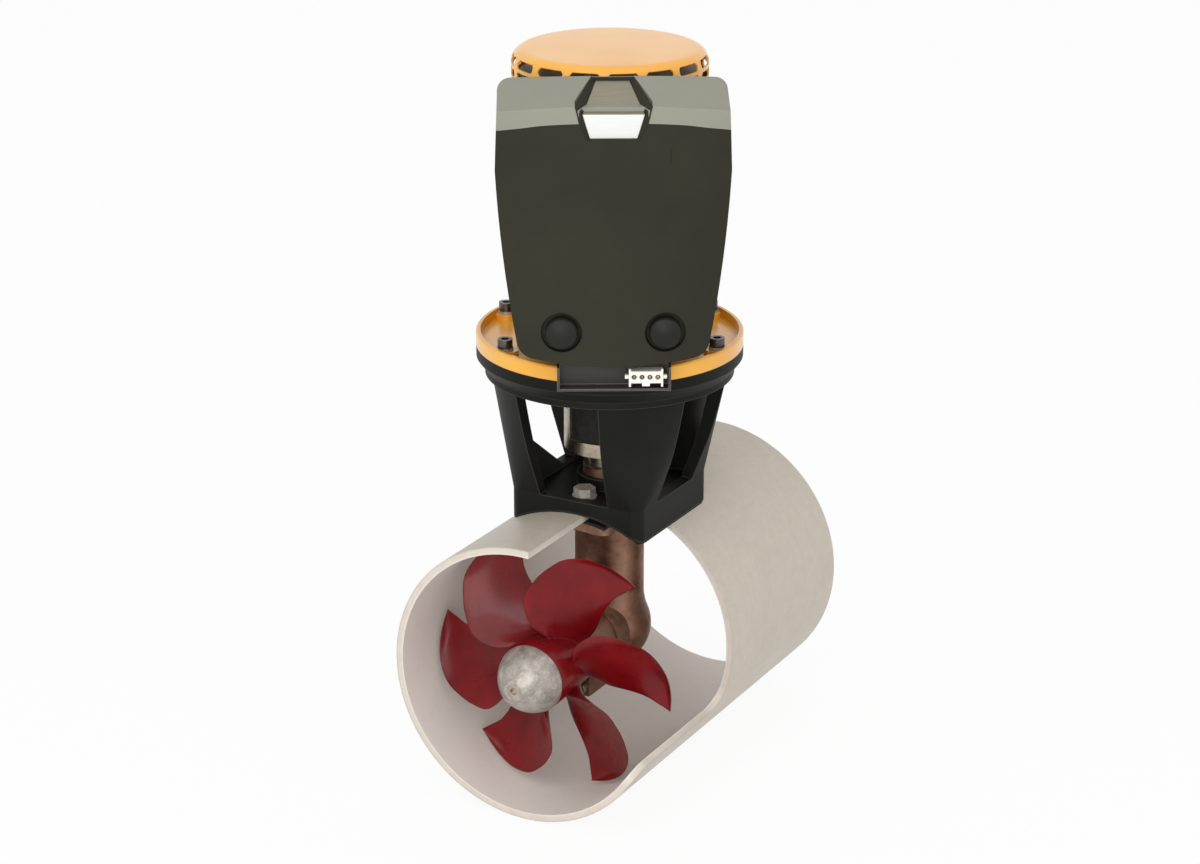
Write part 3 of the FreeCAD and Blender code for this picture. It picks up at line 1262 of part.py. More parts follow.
def add_brushes():
    """Four carbon brushes in box holders that stand on the end shield's inner ledge."""
    brushes = []
    holders = []
    reach = "commutator_radius + moving_gap"
    inner = "commutator_radius + 4"
    for index in range(int(size("pole_count"))):
        turn = "motor_turn + %d*360/pole_count" % index
        brush = block("brush_%d" % (index + 1), "brush_length", "brush_width", "brush_height",
                      (reach, "-brush_width/2", "brush_level"))
        outside = block("holder_%d_outside" % (index + 1), "brush_length + 4", "brush_width + 2*holder_wall + 0.2",
                        "brush_height + holder_wall + brush_level - motor_top - 4",
                        (inner, "-brush_width/2 - holder_wall - 0.1", "motor_top + 4"))
        tunnel = block("holder_%d_tunnel" % (index + 1), "brush_length", "brush_width + 0.2", "brush_height + 0.2",
                       (inner + " - 1", "-brush_width/2 - 0.1", "brush_level - 0.1"))
        for piece, made in ((brush, brushes), (cut("holder_%d" % (index + 1), outside, [tunnel]), holders)):
            carrier = group(piece.Name + "_turned", [piece])
            place(carrier, turn=turn)
            made.append(carrier)
    keep(group("brush_set", brushes), "carbon_brushes")
    keep(group("holder_set", holders), "brush_holders")


def add_motor_cap():
    """The pressed cap over the motor's end, with two rows of long air slots."""
    skirt = "cap_skirt_radius"
    inside = "cap_skirt_radius - cap_sheet"
    body = lathe("motor_cap", [
        (inside, "cap_bottom"), (skirt, "cap_bottom"), (skirt, "cap_top - cap_edge_round", "cap_edge_round"),
        (skirt + " - cap_edge_round", "cap_top"), ("0", "cap_top"), ("0", "cap_top - cap_sheet"),
        (skirt + " - cap_edge_round", "cap_top - cap_sheet", "-(cap_edge_round - cap_sheet)"),
        (inside, "cap_top - cap_edge_round"),
    ], turn="motor_turn")
    features = []
    for row in ("upper", "lower"):
        level = "cap_%s_row" % row
        half = "cap_slot_length/2"
        chamfer = "1.6"
        slot = outline(new_sketch(body, row + "_slot_outline", "YZ", away="0.8*cap_skirt_radius"), [
            ("-%s" % half, level + " - cap_slot_height/2 + " + chamfer),
            ("-%s + %s" % (half, chamfer), level + " - cap_slot_height/2"),
            ("%s - %s" % (half, chamfer), level + " - cap_slot_height/2"),
            (half, level + " - cap_slot_height/2 + " + chamfer),
            (half, level + " + cap_slot_height/2 - " + chamfer),
            ("%s - %s" % (half, chamfer), level + " + cap_slot_height/2"),
            ("-%s + %s" % (half, chamfer), level + " + cap_slot_height/2"),
            ("-%s" % half, level + " + cap_slot_height/2 - " + chamfer),
        ])
        features.append(pocket(body, row + "_slot", slot, "cap_skirt_radius", forwards=True))
    polar(body, "slot_rows", features, "cap_slots")
    hole = add_solid(body, "SubtractiveCylinder", "screw_hole", ("0", "0", "motor_top + shield_ring/2"), ALONG_X,
                     Radius="cap_screw_radius + seat_gap", Height="2*cap_skirt_radius")
    polar(body, "screw_holes", [hole], "3")
    keep(body, "motor_cap")


def add_cap_screws():
    """Three small round-headed screws through the cap's skirt."""
    screws = []
    for index in range(3):
        level = ("0", "0", "motor_top + shield_ring/2")
        name = "cap_screw_%d" % (index + 1)
        shank = rod(name + "_shank", "cap_screw_radius", "7", ("cap_skirt_radius - 6", "0", level[2]), ALONG_X)
        head = cone(name + "_head", "cap_screw_head_radius", "cap_screw_head_radius - 1.4", "cap_screw_head",
                    ("cap_skirt_radius + 0.1", "0", level[2]), ALONG_X)
        carrier = group(name, [fused(name + "_solid", [shank, head])])
        place(carrier, turn="motor_turn + %d*120" % index)
        screws.append(carrier)
    keep(group("cap_screw_set", screws), "cap_screws")


# Cover


def turned_group(name, shapes):
    """Shapes set out in the motor's own directions, turned with it."""
    carrier = group(name, shapes)
    place(carrier, turn="motor_turn")
    return carrier


def cover_form(name, inset):
    """The cover's outer form drawn in by an inset: waisted outline, crowned front, bevelled top."""
    body = new_body(name, "motor_turn")
    away = "cover_back"
    low = "cover_bottom + 7 + %s" % inset
    face = outline(new_sketch(body, name + "_face", "XZ", away=away), [
        ("-cover_bottom_half + %s" % inset, low, "260"),
        ("cover_bottom_half - %s" % inset, low, "900"),
        ("cover_bulge_half - %s" % inset, "cover_bulge"),
        ("cover_top_half - %s" % inset, "cover_top - %s" % inset),
        ("-cover_top_half + %s" % inset, "cover_top - %s" % inset),
        ("-cover_bulge_half + %s" % inset, "cover_bulge", "900"),
    ])
    pad(body, name + "_block", face, "cover_front - cover_back - %s" % inset)
    low_level = size(low)
    half = size("cover_bottom_half - %s" % inset)
    soften(body, name + "_low_corners",
           lambda edge, middle: abs(middle.z - low_level) < 0.01 and abs(abs(middle.x) - half) < 0.01,
           "cover_corner - %s" % inset)
    top_half = size("cover_top_half - %s" % inset)
    top_level = size("cover_top - %s" % inset)
    soften(body, name + "_top_corners",
           lambda edge, middle: abs(middle.z - top_level) < 0.01 and abs(abs(middle.x) - top_half) < 0.01,
           "cover_corner*0.7 - %s" % inset)
    bevel = outline(new_sketch(body, name + "_bevel_outline", "YZ", away="-cover_front"), [
        ("-cover_front - 1", "cover_bevel - %s" % inset), ("-cover_front + %s" % inset, "cover_bevel - %s" % inset),
        ("-motor_radius - 4", "cover_top - %s" % inset), ("-motor_radius - 4", "2*cover_top"),
        ("-cover_front - 1", "2*cover_top"),
    ])
    pocket(body, name + "_bevel", bevel, "2*cover_front", forwards=True)
    reach = "1.2*cover_bulge_half"
    crown_radius = "((%s)^2 + (1.44*cover_crown)^2)/(2*1.44*cover_crown)" % reach
    crown = outline(new_sketch(body, name + "_crown_outline", "XY", away="cover_bottom - 5"), [
        ("-%s" % reach, "-cover_front - 10"), ("%s" % reach, "-cover_front - 10"),
        (reach, "-cover_front + %s + 1.44*cover_crown" % inset, "-(%s)" % crown_radius),
        ("-%s" % reach, "-cover_front + %s + 1.44*cover_crown" % inset),
    ])
    pocket(body, name + "_crown", crown, "2*cover_top", forwards=True)
    return body


def notch_tool(name, inset):
    """The flared notch in the middle of the cover's upper edge, narrower with depth."""
    front = new_body(name + "_front", "motor_turn")
    sections = []
    for depth, spread in (("-cover_front - 6", "4"), ("-cover_front + 6", "0")):
        half = "insert_half + %s - %s" % (spread, inset)
        low = "cover_split - 4 - %s*0.6 + %s" % (spread, inset)
        sketch = new_sketch(front, "%s_front_%s" % (name, spread), "XZ", away="-(%s)" % depth)
        sections.append(outline(sketch, [
            ("-0.62*(%s)" % half, low), ("0.62*(%s)" % half, low),
            (half, "cover_bevel + 4"), ("-(%s)" % half, "cover_bevel + 4"),
        ]))
    loft = feature(front, "AdditiveLoft", name + "_front_loft", sections[0])
    loft.Sections = [(sections[1], [""])]
    top = new_body(name + "_top", "motor_turn")
    sections = []
    for level, spread in (("cover_top + 8", "5"), ("cover_bevel - 8", "0")):
        half = "insert_half + %s - %s" % (spread, inset)
        sketch = new_sketch(top, "%s_top_%s" % (name, spread), "XY", away=level)
        sections.append(outline(sketch, [
            ("-(%s)" % half, "-cover_front - 1"), (half, "-cover_front - 1"), (half, "-cover_front + 8"),
            ("0.52*(%s)" % half, "-motor_radius - 3"), ("-0.52*(%s)" % half, "-motor_radius - 3"),
            ("-(%s)" % half, "-cover_front + 8"),
        ]))
    loft = feature(top, "AdditiveLoft", name + "_top_loft", sections[0])
    loft.Sections = [(sections[1], [""])]
    floor = block(name + "_floor", "4*insert_half", "2*cover_front", "cover_top",
                  ("-2*insert_half", "-1.5*cover_front", "cover_bevel - 2"))
    turned = group(name + "_floor_turned", [floor])
    place(turned, turn="motor_turn")
    upper = common(name + "_upper", [top, turned])
    return fused(name, [front, upper])


def knob_tool(name, side, radius, depth, start):
    """A cylinder along the knob's axis, from a distance behind the cover's front."""
    piece = rod(name, radius, depth, (side + "knob_reach", "-(%s)" % start, "knob_level"), ALONG_MINUS_Y)
    carrier = group(name + "_turned", [piece])
    place(carrier, turn="motor_turn")
    return carrier


def add_cover():
    """Black shell, grey top and silver insert; the three come off together."""
    outer = cover_form("cover_outer", "0")
    inner = cover_form("cover_inner", "cover_wall")
    bed = cover_form("insert_bed", "6")
    face = cover_form("insert_face", "2.8")
    shell = cut("cover_hollow", outer, [inner])
    backing_block = block("backing_block", "4*insert_half", "cover_front - motor_radius - 4", "cover_top",
                          ("-2*insert_half", "-cover_front", "cover_split - 10"))
    backing_turned = group("backing_turned", [backing_block])
    place(backing_turned, turn="motor_turn")
    backing = common("backing", [backing_turned, outer])
    seats = []
    recesses = []
    for name, side in (("left", "-"), ("right", "")):
        wide = knob_tool(name + "_seat", side, "knob_recess + 2.5", "20", "cover_front - 6 - 2.5")
        seats.append(common(name + "_seat_trimmed", [wide, outer]))
        recesses.append(knob_tool(name + "_recess", side, "knob_recess", "20", "cover_front - 6"))
        recesses.append(knob_tool(name + "_stem_hole", side, "knob_stem_radius + running_gap", "20",
                                  "cover_front - 12"))
    solid = fused("cover_solid", [shell, backing] + seats)
    notch = cut("notch", notch_tool("notch_outline", "0"), [bed])
    motor_room = rod("motor_room", "cap_skirt_radius + 2*moving_gap", "2*cover_top")
    plate_room = turned_group("plate_room", [block("plate_room_block", "2*plate_half + 2", "plate_place", "plate_level",
                                                   ("-plate_half - 1", "-plate_place - plate_sheet - 1", "20"))])
    whole = cut("cover_whole", solid, [notch, motor_room, plate_room] + recesses)
    divide = new_body("cover_divide", "motor_turn")
    region = outline(new_sketch(divide, "divide_outline", "XZ", away="0"), [
        ("-2*cover_bulge_half", "0"), ("2*cover_bulge_half", "0"),
        ("2*cover_bulge_half", "cover_split - 8", "1100"), ("-2*cover_bulge_half", "cover_split - 8"),
    ])
    pad(divide, "divide_block", region, "2*cover_front")
    keep(common("cover_lower", [whole, divide]), "cover_shell")
    keep(cut("cover_upper", whole, [divide]), "cover_top")
    skin = common("insert_skin", [notch_tool("insert_outline", "0.25"), face])
    keep(cut("insert", skin, [bed]), "cover_insert")


def add_knobs():
    """Two domed knobs on stems that reach the posts behind the cover."""
    for name, side in (("left_knob", "-"), ("right_knob", "")):
        body = new_body(name, "motor_turn")
        profile = new_sketch(body, name + "_profile", "XY", away="knob_level", across=side + "knob_reach")
        floor = "-cover_front + 6 - moving_gap"
        outline(profile, [
            ("0", "-plate_place - plate_sheet - 8"), ("knob_stem_radius", "-plate_place - plate_sheet - 8"),
            ("knob_stem_radius", floor), ("knob_radius - 1", floor), ("knob_radius", floor + " - 1"),
            ("knob_radius", "-cover_front - 1"), ("knob_radius - 0.8", "-cover_front - 2.2", "-22"),
            ("0", "-cover_front - 4.6"),
        ])
        revolve(body, name + "_turned", profile)
        keep(body, name)


# Connector bracket and electrics


def add_connector_bracket():
    """A channel below the cover, with a tongue that carries the mounting plate over the flange's rim."""
    width = "bracket_left + bracket_right"
    depth = "bracket_front - bracket_back"
    height = "bracket_top - bracket_bottom"
    corner = ("-bracket_left", "-bracket_front", "bracket_bottom")
    back = block("bracket_web", width, "bracket_sheet", height,
                 ("-bracket_left", "-bracket_back - bracket_sheet", "bracket_bottom"))
    lip = block("bracket_lip", width, depth, "bracket_sheet", corner)
    left = block("bracket_left_end", "bracket_sheet", depth, height, corner)
    right = block("bracket_right_end", "bracket_sheet", depth, height,
                  ("bracket_right - bracket_sheet", "-bracket_front", "bracket_bottom"))
    tongues = []
    for name, spot in (("left", "-20"), ("right", "10")):
        tongues.append(block("bracket_%s_tongue" % name, "10", "bracket_back - plate_place + 1", "bracket_sheet",
                             (spot, "-bracket_back - 1", "flange_level + flange_rim + 0.4")))
    keep(turned_group("bracket", [fused("bracket_solid", [back, lip, left, right] + tongues)]), "connector_bracket")


def pin_places():
    """Places along X of the four ways of the connector."""
    middle = "connector_left + connector_width/2"
    return ["%s + (%s)*pin_pitch" % (middle, step) for step in ("-1.5", "-0.5", "0.5", "1.5")]


def add_connector():
    """The four-way connector and its contacts."""
    front = "bracket_front - 0.5"
    back = "bracket_back + bracket_sheet"
    middle = "bracket_bottom + bracket_sheet + 1 + connector_height/2 + 2.5"
    low = middle + " - connector_height/2"
    base = block("connector_body", "connector_width", front + " - (%s)" % back, "connector_height",
                 ("connector_left", "-(%s)" % front, low))
    ear = block("connector_ears", "connector_width + 5", "3", "2.4",
                ("connector_left - 2.5", "-(%s) + 1" % front, middle + " - 1.2"))
    posts = []
    for side, spot in (("left", "connector_left"), ("right", "connector_left + connector_width - 1.4")):
        posts.append(block("connector_%s_post" % side, "1.4", "2.5", "connector_height + 4",
                           (spot, "-(%s)" % front, low + " - 2.4")))
    latch = block("connector_latch", "5", "2", "2.2", ("connector_left + connector_width/2 - 2.5",
                                                       "-(%s)" % front, low + " - 2"))
    bores = []
    contacts = []
    for index, spot in enumerate(pin_places(), start=1):
        bores.append(rod("way_%d" % index, "pin_bore", "connector_depth*0.7", (spot, "-(%s) + connector_depth*0.7"
                                                                            % front, middle), ALONG_MINUS_Y))
        contacts.append(rod("contact_%d" % index, "contact_radius", "connector_depth*0.6",
                            (spot, "-(%s) + connector_depth*0.7" % front, middle), ALONG_MINUS_Y))
    whole = fused("connector_solid", [base, ear, latch] + posts)
    keep(turned_group("connector", [cut("connector_cut", whole, bores)]), "control_connector")
    keep(turned_group("contacts", contacts), "connector_contacts")


def add_electrics():
    """Mounting plate with knob posts, two contactors, busbars and power studs."""
    front = "plate_place + plate_sheet"
    base = "flange_level + flange_rim + 0.4 + bracket_sheet"
    plate = block("plate_sheet_block", "2*plate_half", "plate_sheet", "plate_height",
                  ("-plate_half", "-(%s)" % front, base))
    posts = []
    for side in ("-", ""):
        post = rod("post_%s" % ("left" if side else "right"), "6", "20",
                   (side + "knob_reach", "-(%s) + 0.5" % front, "knob_level"), ALONG_MINUS_Y)
        bore = rod("post_bore_%s" % ("left" if side else "right"), "knob_stem_radius + moving_gap", "18",
                   (side + "knob_reach", "-(%s) - 3" % front, "knob_level"), ALONG_MINUS_Y)
        posts.append(cut("post_%s_cut" % ("left" if side else "right"), post, [bore]))
    keep(turned_group("plate", [fused("plate_solid", [plate] + posts)]), "mounting_plate")
    spacers = []
    for name, level in (("low", "plate_level + 16"), ("high", "plate_level + 106")):
        spacers.append(block("spacer_" + name, "16", "plate_place - motor_radius - 0.05", "12",
                             ("-8", "-plate_place", level)))
    keep(turned_group("spacers", spacers), "plate_spacers")
    busbars = []
    studs = []
    for name, side in (("port_contactor", "-"), ("starboard_contactor", "")):
        place_y = "-(%s) - contactor_radius - 0.2" % front
        can = rod(name + "_can", "contactor_radius", "contactor_height",
                  (side + "contactor_reach", place_y, "contactor_level"))
        head = rod(name + "_head", "contactor_radius - 2", "4",
                   (side + "contactor_reach", place_y, "contactor_level + contactor_height"))
        foot = block(name + "_foot", "2*contactor_radius - 6", "4", "contactor_height - 10",
                     (side + "contactor_reach - contactor_radius + 3", "-(%s) - 4" % front, "contactor_level + 5"))
        keep(turned_group(name + "_group", [fused(name + "_solid", [can, head, foot])]), name)
        stud_x = side + "stud_reach"
        shank_radius = "stud_radius + 1"
        shank = rod(name + "_stud_shank", shank_radius, "busbar_thickness", (stud_x, "-(%s)" % front, "stud_level"),
                    ALONG_MINUS_Y)
        collar = hexagon(name + "_stud_collar", "stud_flats", "stud_collar", ("0", "0", "0"))
        place(collar, (stud_x, "-(%s) - busbar_thickness" % front, "stud_level"), (1, 0, 0), "90")
        thread = rod(name + "_stud_thread", "stud_radius", "stud_length",
                     (stud_x, "-(%s) - busbar_thickness - stud_collar" % front, "stud_level"), ALONG_MINUS_Y)
        strip = block(name + "_busbar", "12", "busbar_thickness", "contactor_level - stud_level + 8",
                      (stud_x + " - 6", "-(%s) - busbar_thickness" % front, "stud_level - 8"))
        hole = rod(name + "_busbar_hole", shank_radius + " + seat_gap", "20",
                   (stud_x, "-(%s) + 5" % front, "stud_level"), ALONG_MINUS_Y)
        busbars.append(cut(name + "_busbar_cut", strip, [hole]))
        studs.append(fused(name + "_stud", [shank, collar, thread]))
    keep(turned_group("busbars", busbars), "copper_busbars")
    keep(turned_group("studs", studs), "power_studs")


# Run the model


fill_sheet()
add_hull_tunnel()
add_foot_gasket()
add_inner_seal()
add_motor_stand()
add_foot_bolts()
add_tail_leg()
add_gear_case_cap()
add_lug_screw()
add_leg_bearings()
add_bevel_gears()
add_drive_shaft()
add_coupling()
add_prop_shaft()
add_propeller()
add_drive_pin()
add_anode()
add_motor_flange()
add_flange_screws()
add_motor_case()
add_field()
add_armature()
add_motor_shaft()
add_motor_bearings()
add_end_shield()
add_brushes()
add_motor_cap()
add_cap_screws()
add_cover()
add_knobs()
add_connector_bracket()
add_connector()
add_electrics()
doc.recompute()
for item in doc.Objects:
    if any(word in ("Invalid", "Error") for word in item.State):
        raise RuntimeError("%s does not build: %s" % (item.Name, item.State))
os.makedirs("parts", exist_ok=True)
for piece in PIECES:
    if piece.Shape.isNull() or not piece.Shape.isValid():
        raise RuntimeError("%s has no sound shape" % piece.Label)
    piece.Shape.exportStep("parts/%s.step" % piece.Label)
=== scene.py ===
import json
import math

import bmesh
import bpy
from mathutils import Matrix, Vector


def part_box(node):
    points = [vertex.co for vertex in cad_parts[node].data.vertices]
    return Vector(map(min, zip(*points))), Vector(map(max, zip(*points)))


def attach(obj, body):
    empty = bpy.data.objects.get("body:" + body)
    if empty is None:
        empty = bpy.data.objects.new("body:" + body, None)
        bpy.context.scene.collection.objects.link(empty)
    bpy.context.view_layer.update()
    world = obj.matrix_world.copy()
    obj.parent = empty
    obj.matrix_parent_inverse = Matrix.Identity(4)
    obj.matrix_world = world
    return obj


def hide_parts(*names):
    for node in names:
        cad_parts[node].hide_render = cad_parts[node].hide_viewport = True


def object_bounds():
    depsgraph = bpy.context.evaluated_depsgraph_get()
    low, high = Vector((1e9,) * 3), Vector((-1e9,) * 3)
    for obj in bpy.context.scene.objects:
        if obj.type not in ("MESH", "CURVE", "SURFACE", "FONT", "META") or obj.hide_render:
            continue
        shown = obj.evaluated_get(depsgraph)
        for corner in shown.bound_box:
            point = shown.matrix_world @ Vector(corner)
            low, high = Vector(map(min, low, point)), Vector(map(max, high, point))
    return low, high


# The bow thruster as photographed: a node material for every solid, mesh pieces where the real form is
# finer than its solid, and a white studio. Lengths are in metres, colours are display values of 0 to 255.

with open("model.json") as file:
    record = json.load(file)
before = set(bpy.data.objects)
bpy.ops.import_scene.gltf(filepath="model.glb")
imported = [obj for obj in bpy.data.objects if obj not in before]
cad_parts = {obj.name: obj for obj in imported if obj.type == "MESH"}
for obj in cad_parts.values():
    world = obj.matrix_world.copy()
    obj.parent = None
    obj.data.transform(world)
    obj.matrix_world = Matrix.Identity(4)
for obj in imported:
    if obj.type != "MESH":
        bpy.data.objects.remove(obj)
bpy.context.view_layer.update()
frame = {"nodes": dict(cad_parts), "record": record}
nodes = frame["nodes"]

MM = 0.001
MOTOR_TURN = math.radians(-60)      # the motor and its cover are turned about the upright axis
MOTOR = Matrix.Rotation(MOTOR_TURN, 4, "Z")

# A colour mix node's sockets: other sockets of that node have the same names.
MIX_SHARE, MIX_A, MIX_B, MIX_RESULT = 0, 6, 7, 2


# Node materials


def linear(red, green, blue):
    """A linear colour from display values of 0 to 255."""
    values = []
    for part in (red, green, blue):
        part = part / 255
        values.append(part / 12.92 if part <= 0.04045 else ((part + 0.055) / 1.055) ** 2.4)
    return tuple(values) + (1.0,)


class Paint:
    """One node material: a principled shader and short ways to wire noise, colour and bump into it."""

    def __init__(self, name, roughness=0.5, metallic=0.0, specular=0.5, coat=0.0, coat_roughness=0.1):
        self.material = bpy.data.materials.new(name)
        self.material.use_nodes = True
        self.tree = self.material.node_tree
        self.shader = self.tree.nodes["Principled BSDF"]
        self.set(self.shader, Roughness=roughness, Metallic=metallic, Specular_IOR_Level=specular,
                 Coat_Weight=coat, Coat_Roughness=coat_roughness)
        self.place = self.node("ShaderNodeTexCoord").outputs["Object"]
        self.normal = None

    def node(self, kind, **settings):
        item = self.tree.nodes.new(kind)
        for key, value in settings.items():
            setattr(item, key, value)
        return item

    def wire(self, source, socket):
        """Feeds a socket from another node, with a display colour or with a plain number."""
        if hasattr(source, "links"):
            self.tree.links.new(source, socket)
        elif isinstance(source, tuple):
            socket.default_value = linear(*source)
        else:
            socket.default_value = source

    def set(self, item, **values):
        for key, value in values.items():
            item.inputs[key.replace("_", " ")].default_value = value

    def scaled(self, x, y, z):
        """The object's own coordinates stretched along each axis."""
        item = self.node("ShaderNodeMapping")
        self.wire(self.place, item.inputs["Vector"])
        item.inputs["Scale"].default_value = (x, y, z)
        return item.outputs["Vector"]

    def noise(self, scale=1.0, detail=4.0, roughness=0.55, where=None, distortion=0.0):
        item = self.node("ShaderNodeTexNoise")
        self.wire(where or self.place, item.inputs["Vector"])
        self.set(item, Scale=scale, Detail=detail, Roughness=roughness, Distortion=distortion)
        return item.outputs["Fac"]

    def math(self, operation, a, b=0.0):
        item = self.node("ShaderNodeMath", operation=operation)
        self.wire(a, item.inputs[0])
        self.wire(b, item.inputs[1])
        return item.outputs[0]

    def ramp(self, value, *stops):
        """A colour for each value, from two stops of (position, colour); a plain number is a grey."""
        item = self.node("ShaderNodeValToRGB")
        self.wire(value, item.inputs[0])
        elements = item.color_ramp.elements
        for element, (position, colour) in zip(elements, stops):
            element.position = position
            element.color = linear(*colour) if isinstance(colour, tuple) else (colour, colour, colour, 1)
        return item.outputs[0]

    def mix(self, share, a, b):
        item = self.node("ShaderNodeMix", data_type="RGBA")
        self.wire(share, item.inputs[MIX_SHARE])
        self.wire(a, item.inputs[MIX_A])
        self.wire(b, item.inputs[MIX_B])
        return item.outputs[MIX_RESULT]

    def colour(self, source):
        self.wire(source, self.shader.inputs["Base Color"])

    def rough(self, source):
        self.wire(source, self.shader.inputs["Roughness"])

    def bump(self, height, strength, depth):
        """Adds relief of a depth in metres on top of the bumps already there."""
        item = self.node("ShaderNodeBump")
        self.set(item, Strength=strength, Distance=depth)
        self.wire(height, item.inputs["Height"])
        if self.normal is not None:
            self.wire(self.normal, item.inputs["Normal"])
        self.normal = item.outputs[0]
        self.wire(self.normal, self.shader.inputs["Normal"])

    def soft_normal(self, radius):
        """The surface's normal, turned smoothly across its edges."""
        item = self.node("ShaderNodeBevel", samples=6)
        self.set(item, Radius=radius)
        return item.outputs[0]

    def rounded(self, radius):
        """Edges that catch the light as if rounded by a radius."""
        self.normal = self.soft_normal(radius)
        self.wire(self.normal, self.shader.inputs["Normal"])

    def apart(self, vector):
        """The X, Y and Z of a vector, to be taken by their letters."""
        item = self.node("ShaderNodeSeparateXYZ")
        self.wire(vector, item.inputs[0])
        return item.outputs

    def painted_edge_highlight(self, radius):
        """A mask for a painted edge highlight: 0 on flat faces, rising to 1 along edges, where a rounded
        normal leaves the face's own.
        """
        own = self.node("ShaderNodeNewGeometry")
        item = self.node("ShaderNodeVectorMath", operation="DOT_PRODUCT")
        self.wire(self.soft_normal(radius), item.inputs[0])
        self.wire(own.outputs["Normal"], item.inputs[1])
        return self.ramp(self.math("SUBTRACT", 1.0, item.outputs["Value"]), (0.01, 0.0), (0.12, 1.0))


def resin_tunnel():
    """Wound glass-reinforced resin: streaked beige outside and bright where cut; inside a pale, smooth
    lining, its colour pushed near white as painted light against the shade inside the tunnel.
    """
    paint = Paint("grp_tunnel", specular=0.45)
    paint.rounded(0.6 * MM)
    place = paint.apart(paint.place)
    across = paint.math("POWER", place["Y"], 2.0)
    up = paint.math("POWER", place["Z"], 2.0)
    radius = paint.math("SQRT", paint.math("ADD", across, up))
    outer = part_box("hull_tunnel")[1][1]
    outside = paint.ramp(paint.math("SUBTRACT", radius, outer - 1.5 * MM), (0.0, 0.0), (MM, 1.0))
    inside = paint.ramp(paint.math("SUBTRACT", outer - 3.5 * MM, radius), (0.0, 0.0), (MM, 1.0))
    cloud = paint.noise(scale=9.0, detail=6.0, roughness=0.6)
    stain = paint.noise(scale=5.0, detail=6.0, roughness=0.65, distortion=1.2)
    fine = paint.noise(scale=160.0, detail=5.0, roughness=0.6)
    wound = paint.noise(detail=5.0, roughness=0.62, where=paint.scaled(260.0, 7.0, 7.0))
    scuff = paint.noise(roughness=0.7, where=paint.scaled(18.0, 90.0, 90.0))
    skin = paint.mix(wound, (148, 140, 121), (172, 164, 146))
    skin = paint.mix(paint.ramp(cloud, (0.38, 0.0), (0.68, 0.6)), skin, (178, 170, 155))
    skin = paint.mix(paint.ramp(stain, (0.5, 0.0), (0.66, 0.35)), skin, (128, 120, 101))
    skin = paint.mix(paint.ramp(scuff, (0.6, 0.0), (0.74, 0.4)), skin, (200, 194, 182))
    # The inside: a pale lining, partly its own colour and partly painted light, brightened near white
    # against the tunnel's own shade.
    pale_lining_and_painted_light = paint.mix(cloud, (244, 236, 232), (252, 248, 246))
    pale_lining_and_painted_light = paint.mix(paint.ramp(fine, (0.5, 0.0), (0.75, 0.2)), pale_lining_and_painted_light, (214, 201, 192))
    end = paint.mix(fine, (196, 186, 172), (222, 212, 200))
    paint.colour(paint.mix(inside, paint.mix(outside, end, skin), pale_lining_and_painted_light))
    paint.rough(paint.ramp(cloud, (0.2, 0.36), (0.8, 0.52)))
    paint.bump(wound, strength=0.25, depth=0.2 * MM)
    paint.bump(fine, strength=0.2, depth=0.08 * MM)
    return paint.material


def moulded(name, colour, lighter, grain, roughness, depth=0.06 * MM, specular=0.4, edge_highlight=0.0):
    """Moulded plastic or coated metal with a fine grain, a little cloud and, where asked, a painted
    highlight along its edges.
    """
    paint = Paint(name, specular=specular)
    paint.rounded(0.7 * MM)
    cloud = paint.noise(scale=14.0)
    speck = paint.noise(scale=grain, detail=2.0, roughness=0.5)
    base = paint.mix(paint.ramp(cloud, (0.3, 0.0), (0.7, 1.0)), colour, lighter)
    if edge_highlight:
        # Painted highlight: a paler colour along every edge, where light would catch it.
        highlight_colour = paint.mix(0.5, lighter, (205, 203, 196))
        base = paint.mix(paint.math("MULTIPLY", paint.painted_edge_highlight(1.1 * MM), edge_highlight), base, highlight_colour)
    paint.colour(base)
    paint.rough(paint.ramp(cloud, (0.2, roughness - 0.05), (0.8, roughness + 0.08)))
    paint.bump(speck, strength=0.35, depth=depth)
    return paint.material


def coated(name, colour, deeper, coat=0.25):
    """Powder coat: faint orange-peel, deeper colour in the cloud, thin gloss."""
    paint = Paint(name, coat=coat, coat_roughness=0.18)
    paint.rounded(0.8 * MM)
    cloud = paint.noise(scale=20.0, roughness=0.5)
    peel = paint.noise(scale=420.0, detail=2.0, roughness=0.5)
    paint.colour(paint.mix(paint.ramp(cloud, (0.3, 0.0), (0.75, 1.0)), colour, deeper))
    paint.rough(paint.ramp(cloud, (0.2, 0.26), (0.8, 0.38)))
    paint.bump(peel, strength=0.3, depth=0.08 * MM)
    return paint.material


def metal(name, colour, darker, roughness, turned=False, stain=None):
    """Machined or cast metal, with fine rings about the upright axis where it is turned."""
    paint = Paint(name, metallic=1.0)
    paint.rounded(0.4 * MM)
    cloud = paint.noise(scale=26.0, detail=5.0, roughness=0.6)
    where = paint.scaled(8.0, 8.0, 1600.0) if turned else paint.scaled(320.0, 320.0, 320.0)
    line = paint.noise(detail=3.0, roughness=0.6, where=where)
    base = paint.mix(paint.ramp(cloud, (0.35, 0.0), (0.68, 1.0)), colour, darker)
    if stain:
        patch = paint.noise(scale=60.0, detail=6.0, roughness=0.65)
        base = paint.mix(paint.ramp(patch, (0.52, 0.0), (0.66, 0.75)), base, stain)
    paint.colour(paint.mix(paint.ramp(line, (0.3, 0.0), (0.8, 0.35)), base, darker))
    paint.rough(paint.ramp(line, (0.25, roughness - 0.06), (0.75, roughness + 0.12)))
    paint.bump(line, strength=0.18, depth=0.05 * MM)
    return paint.material


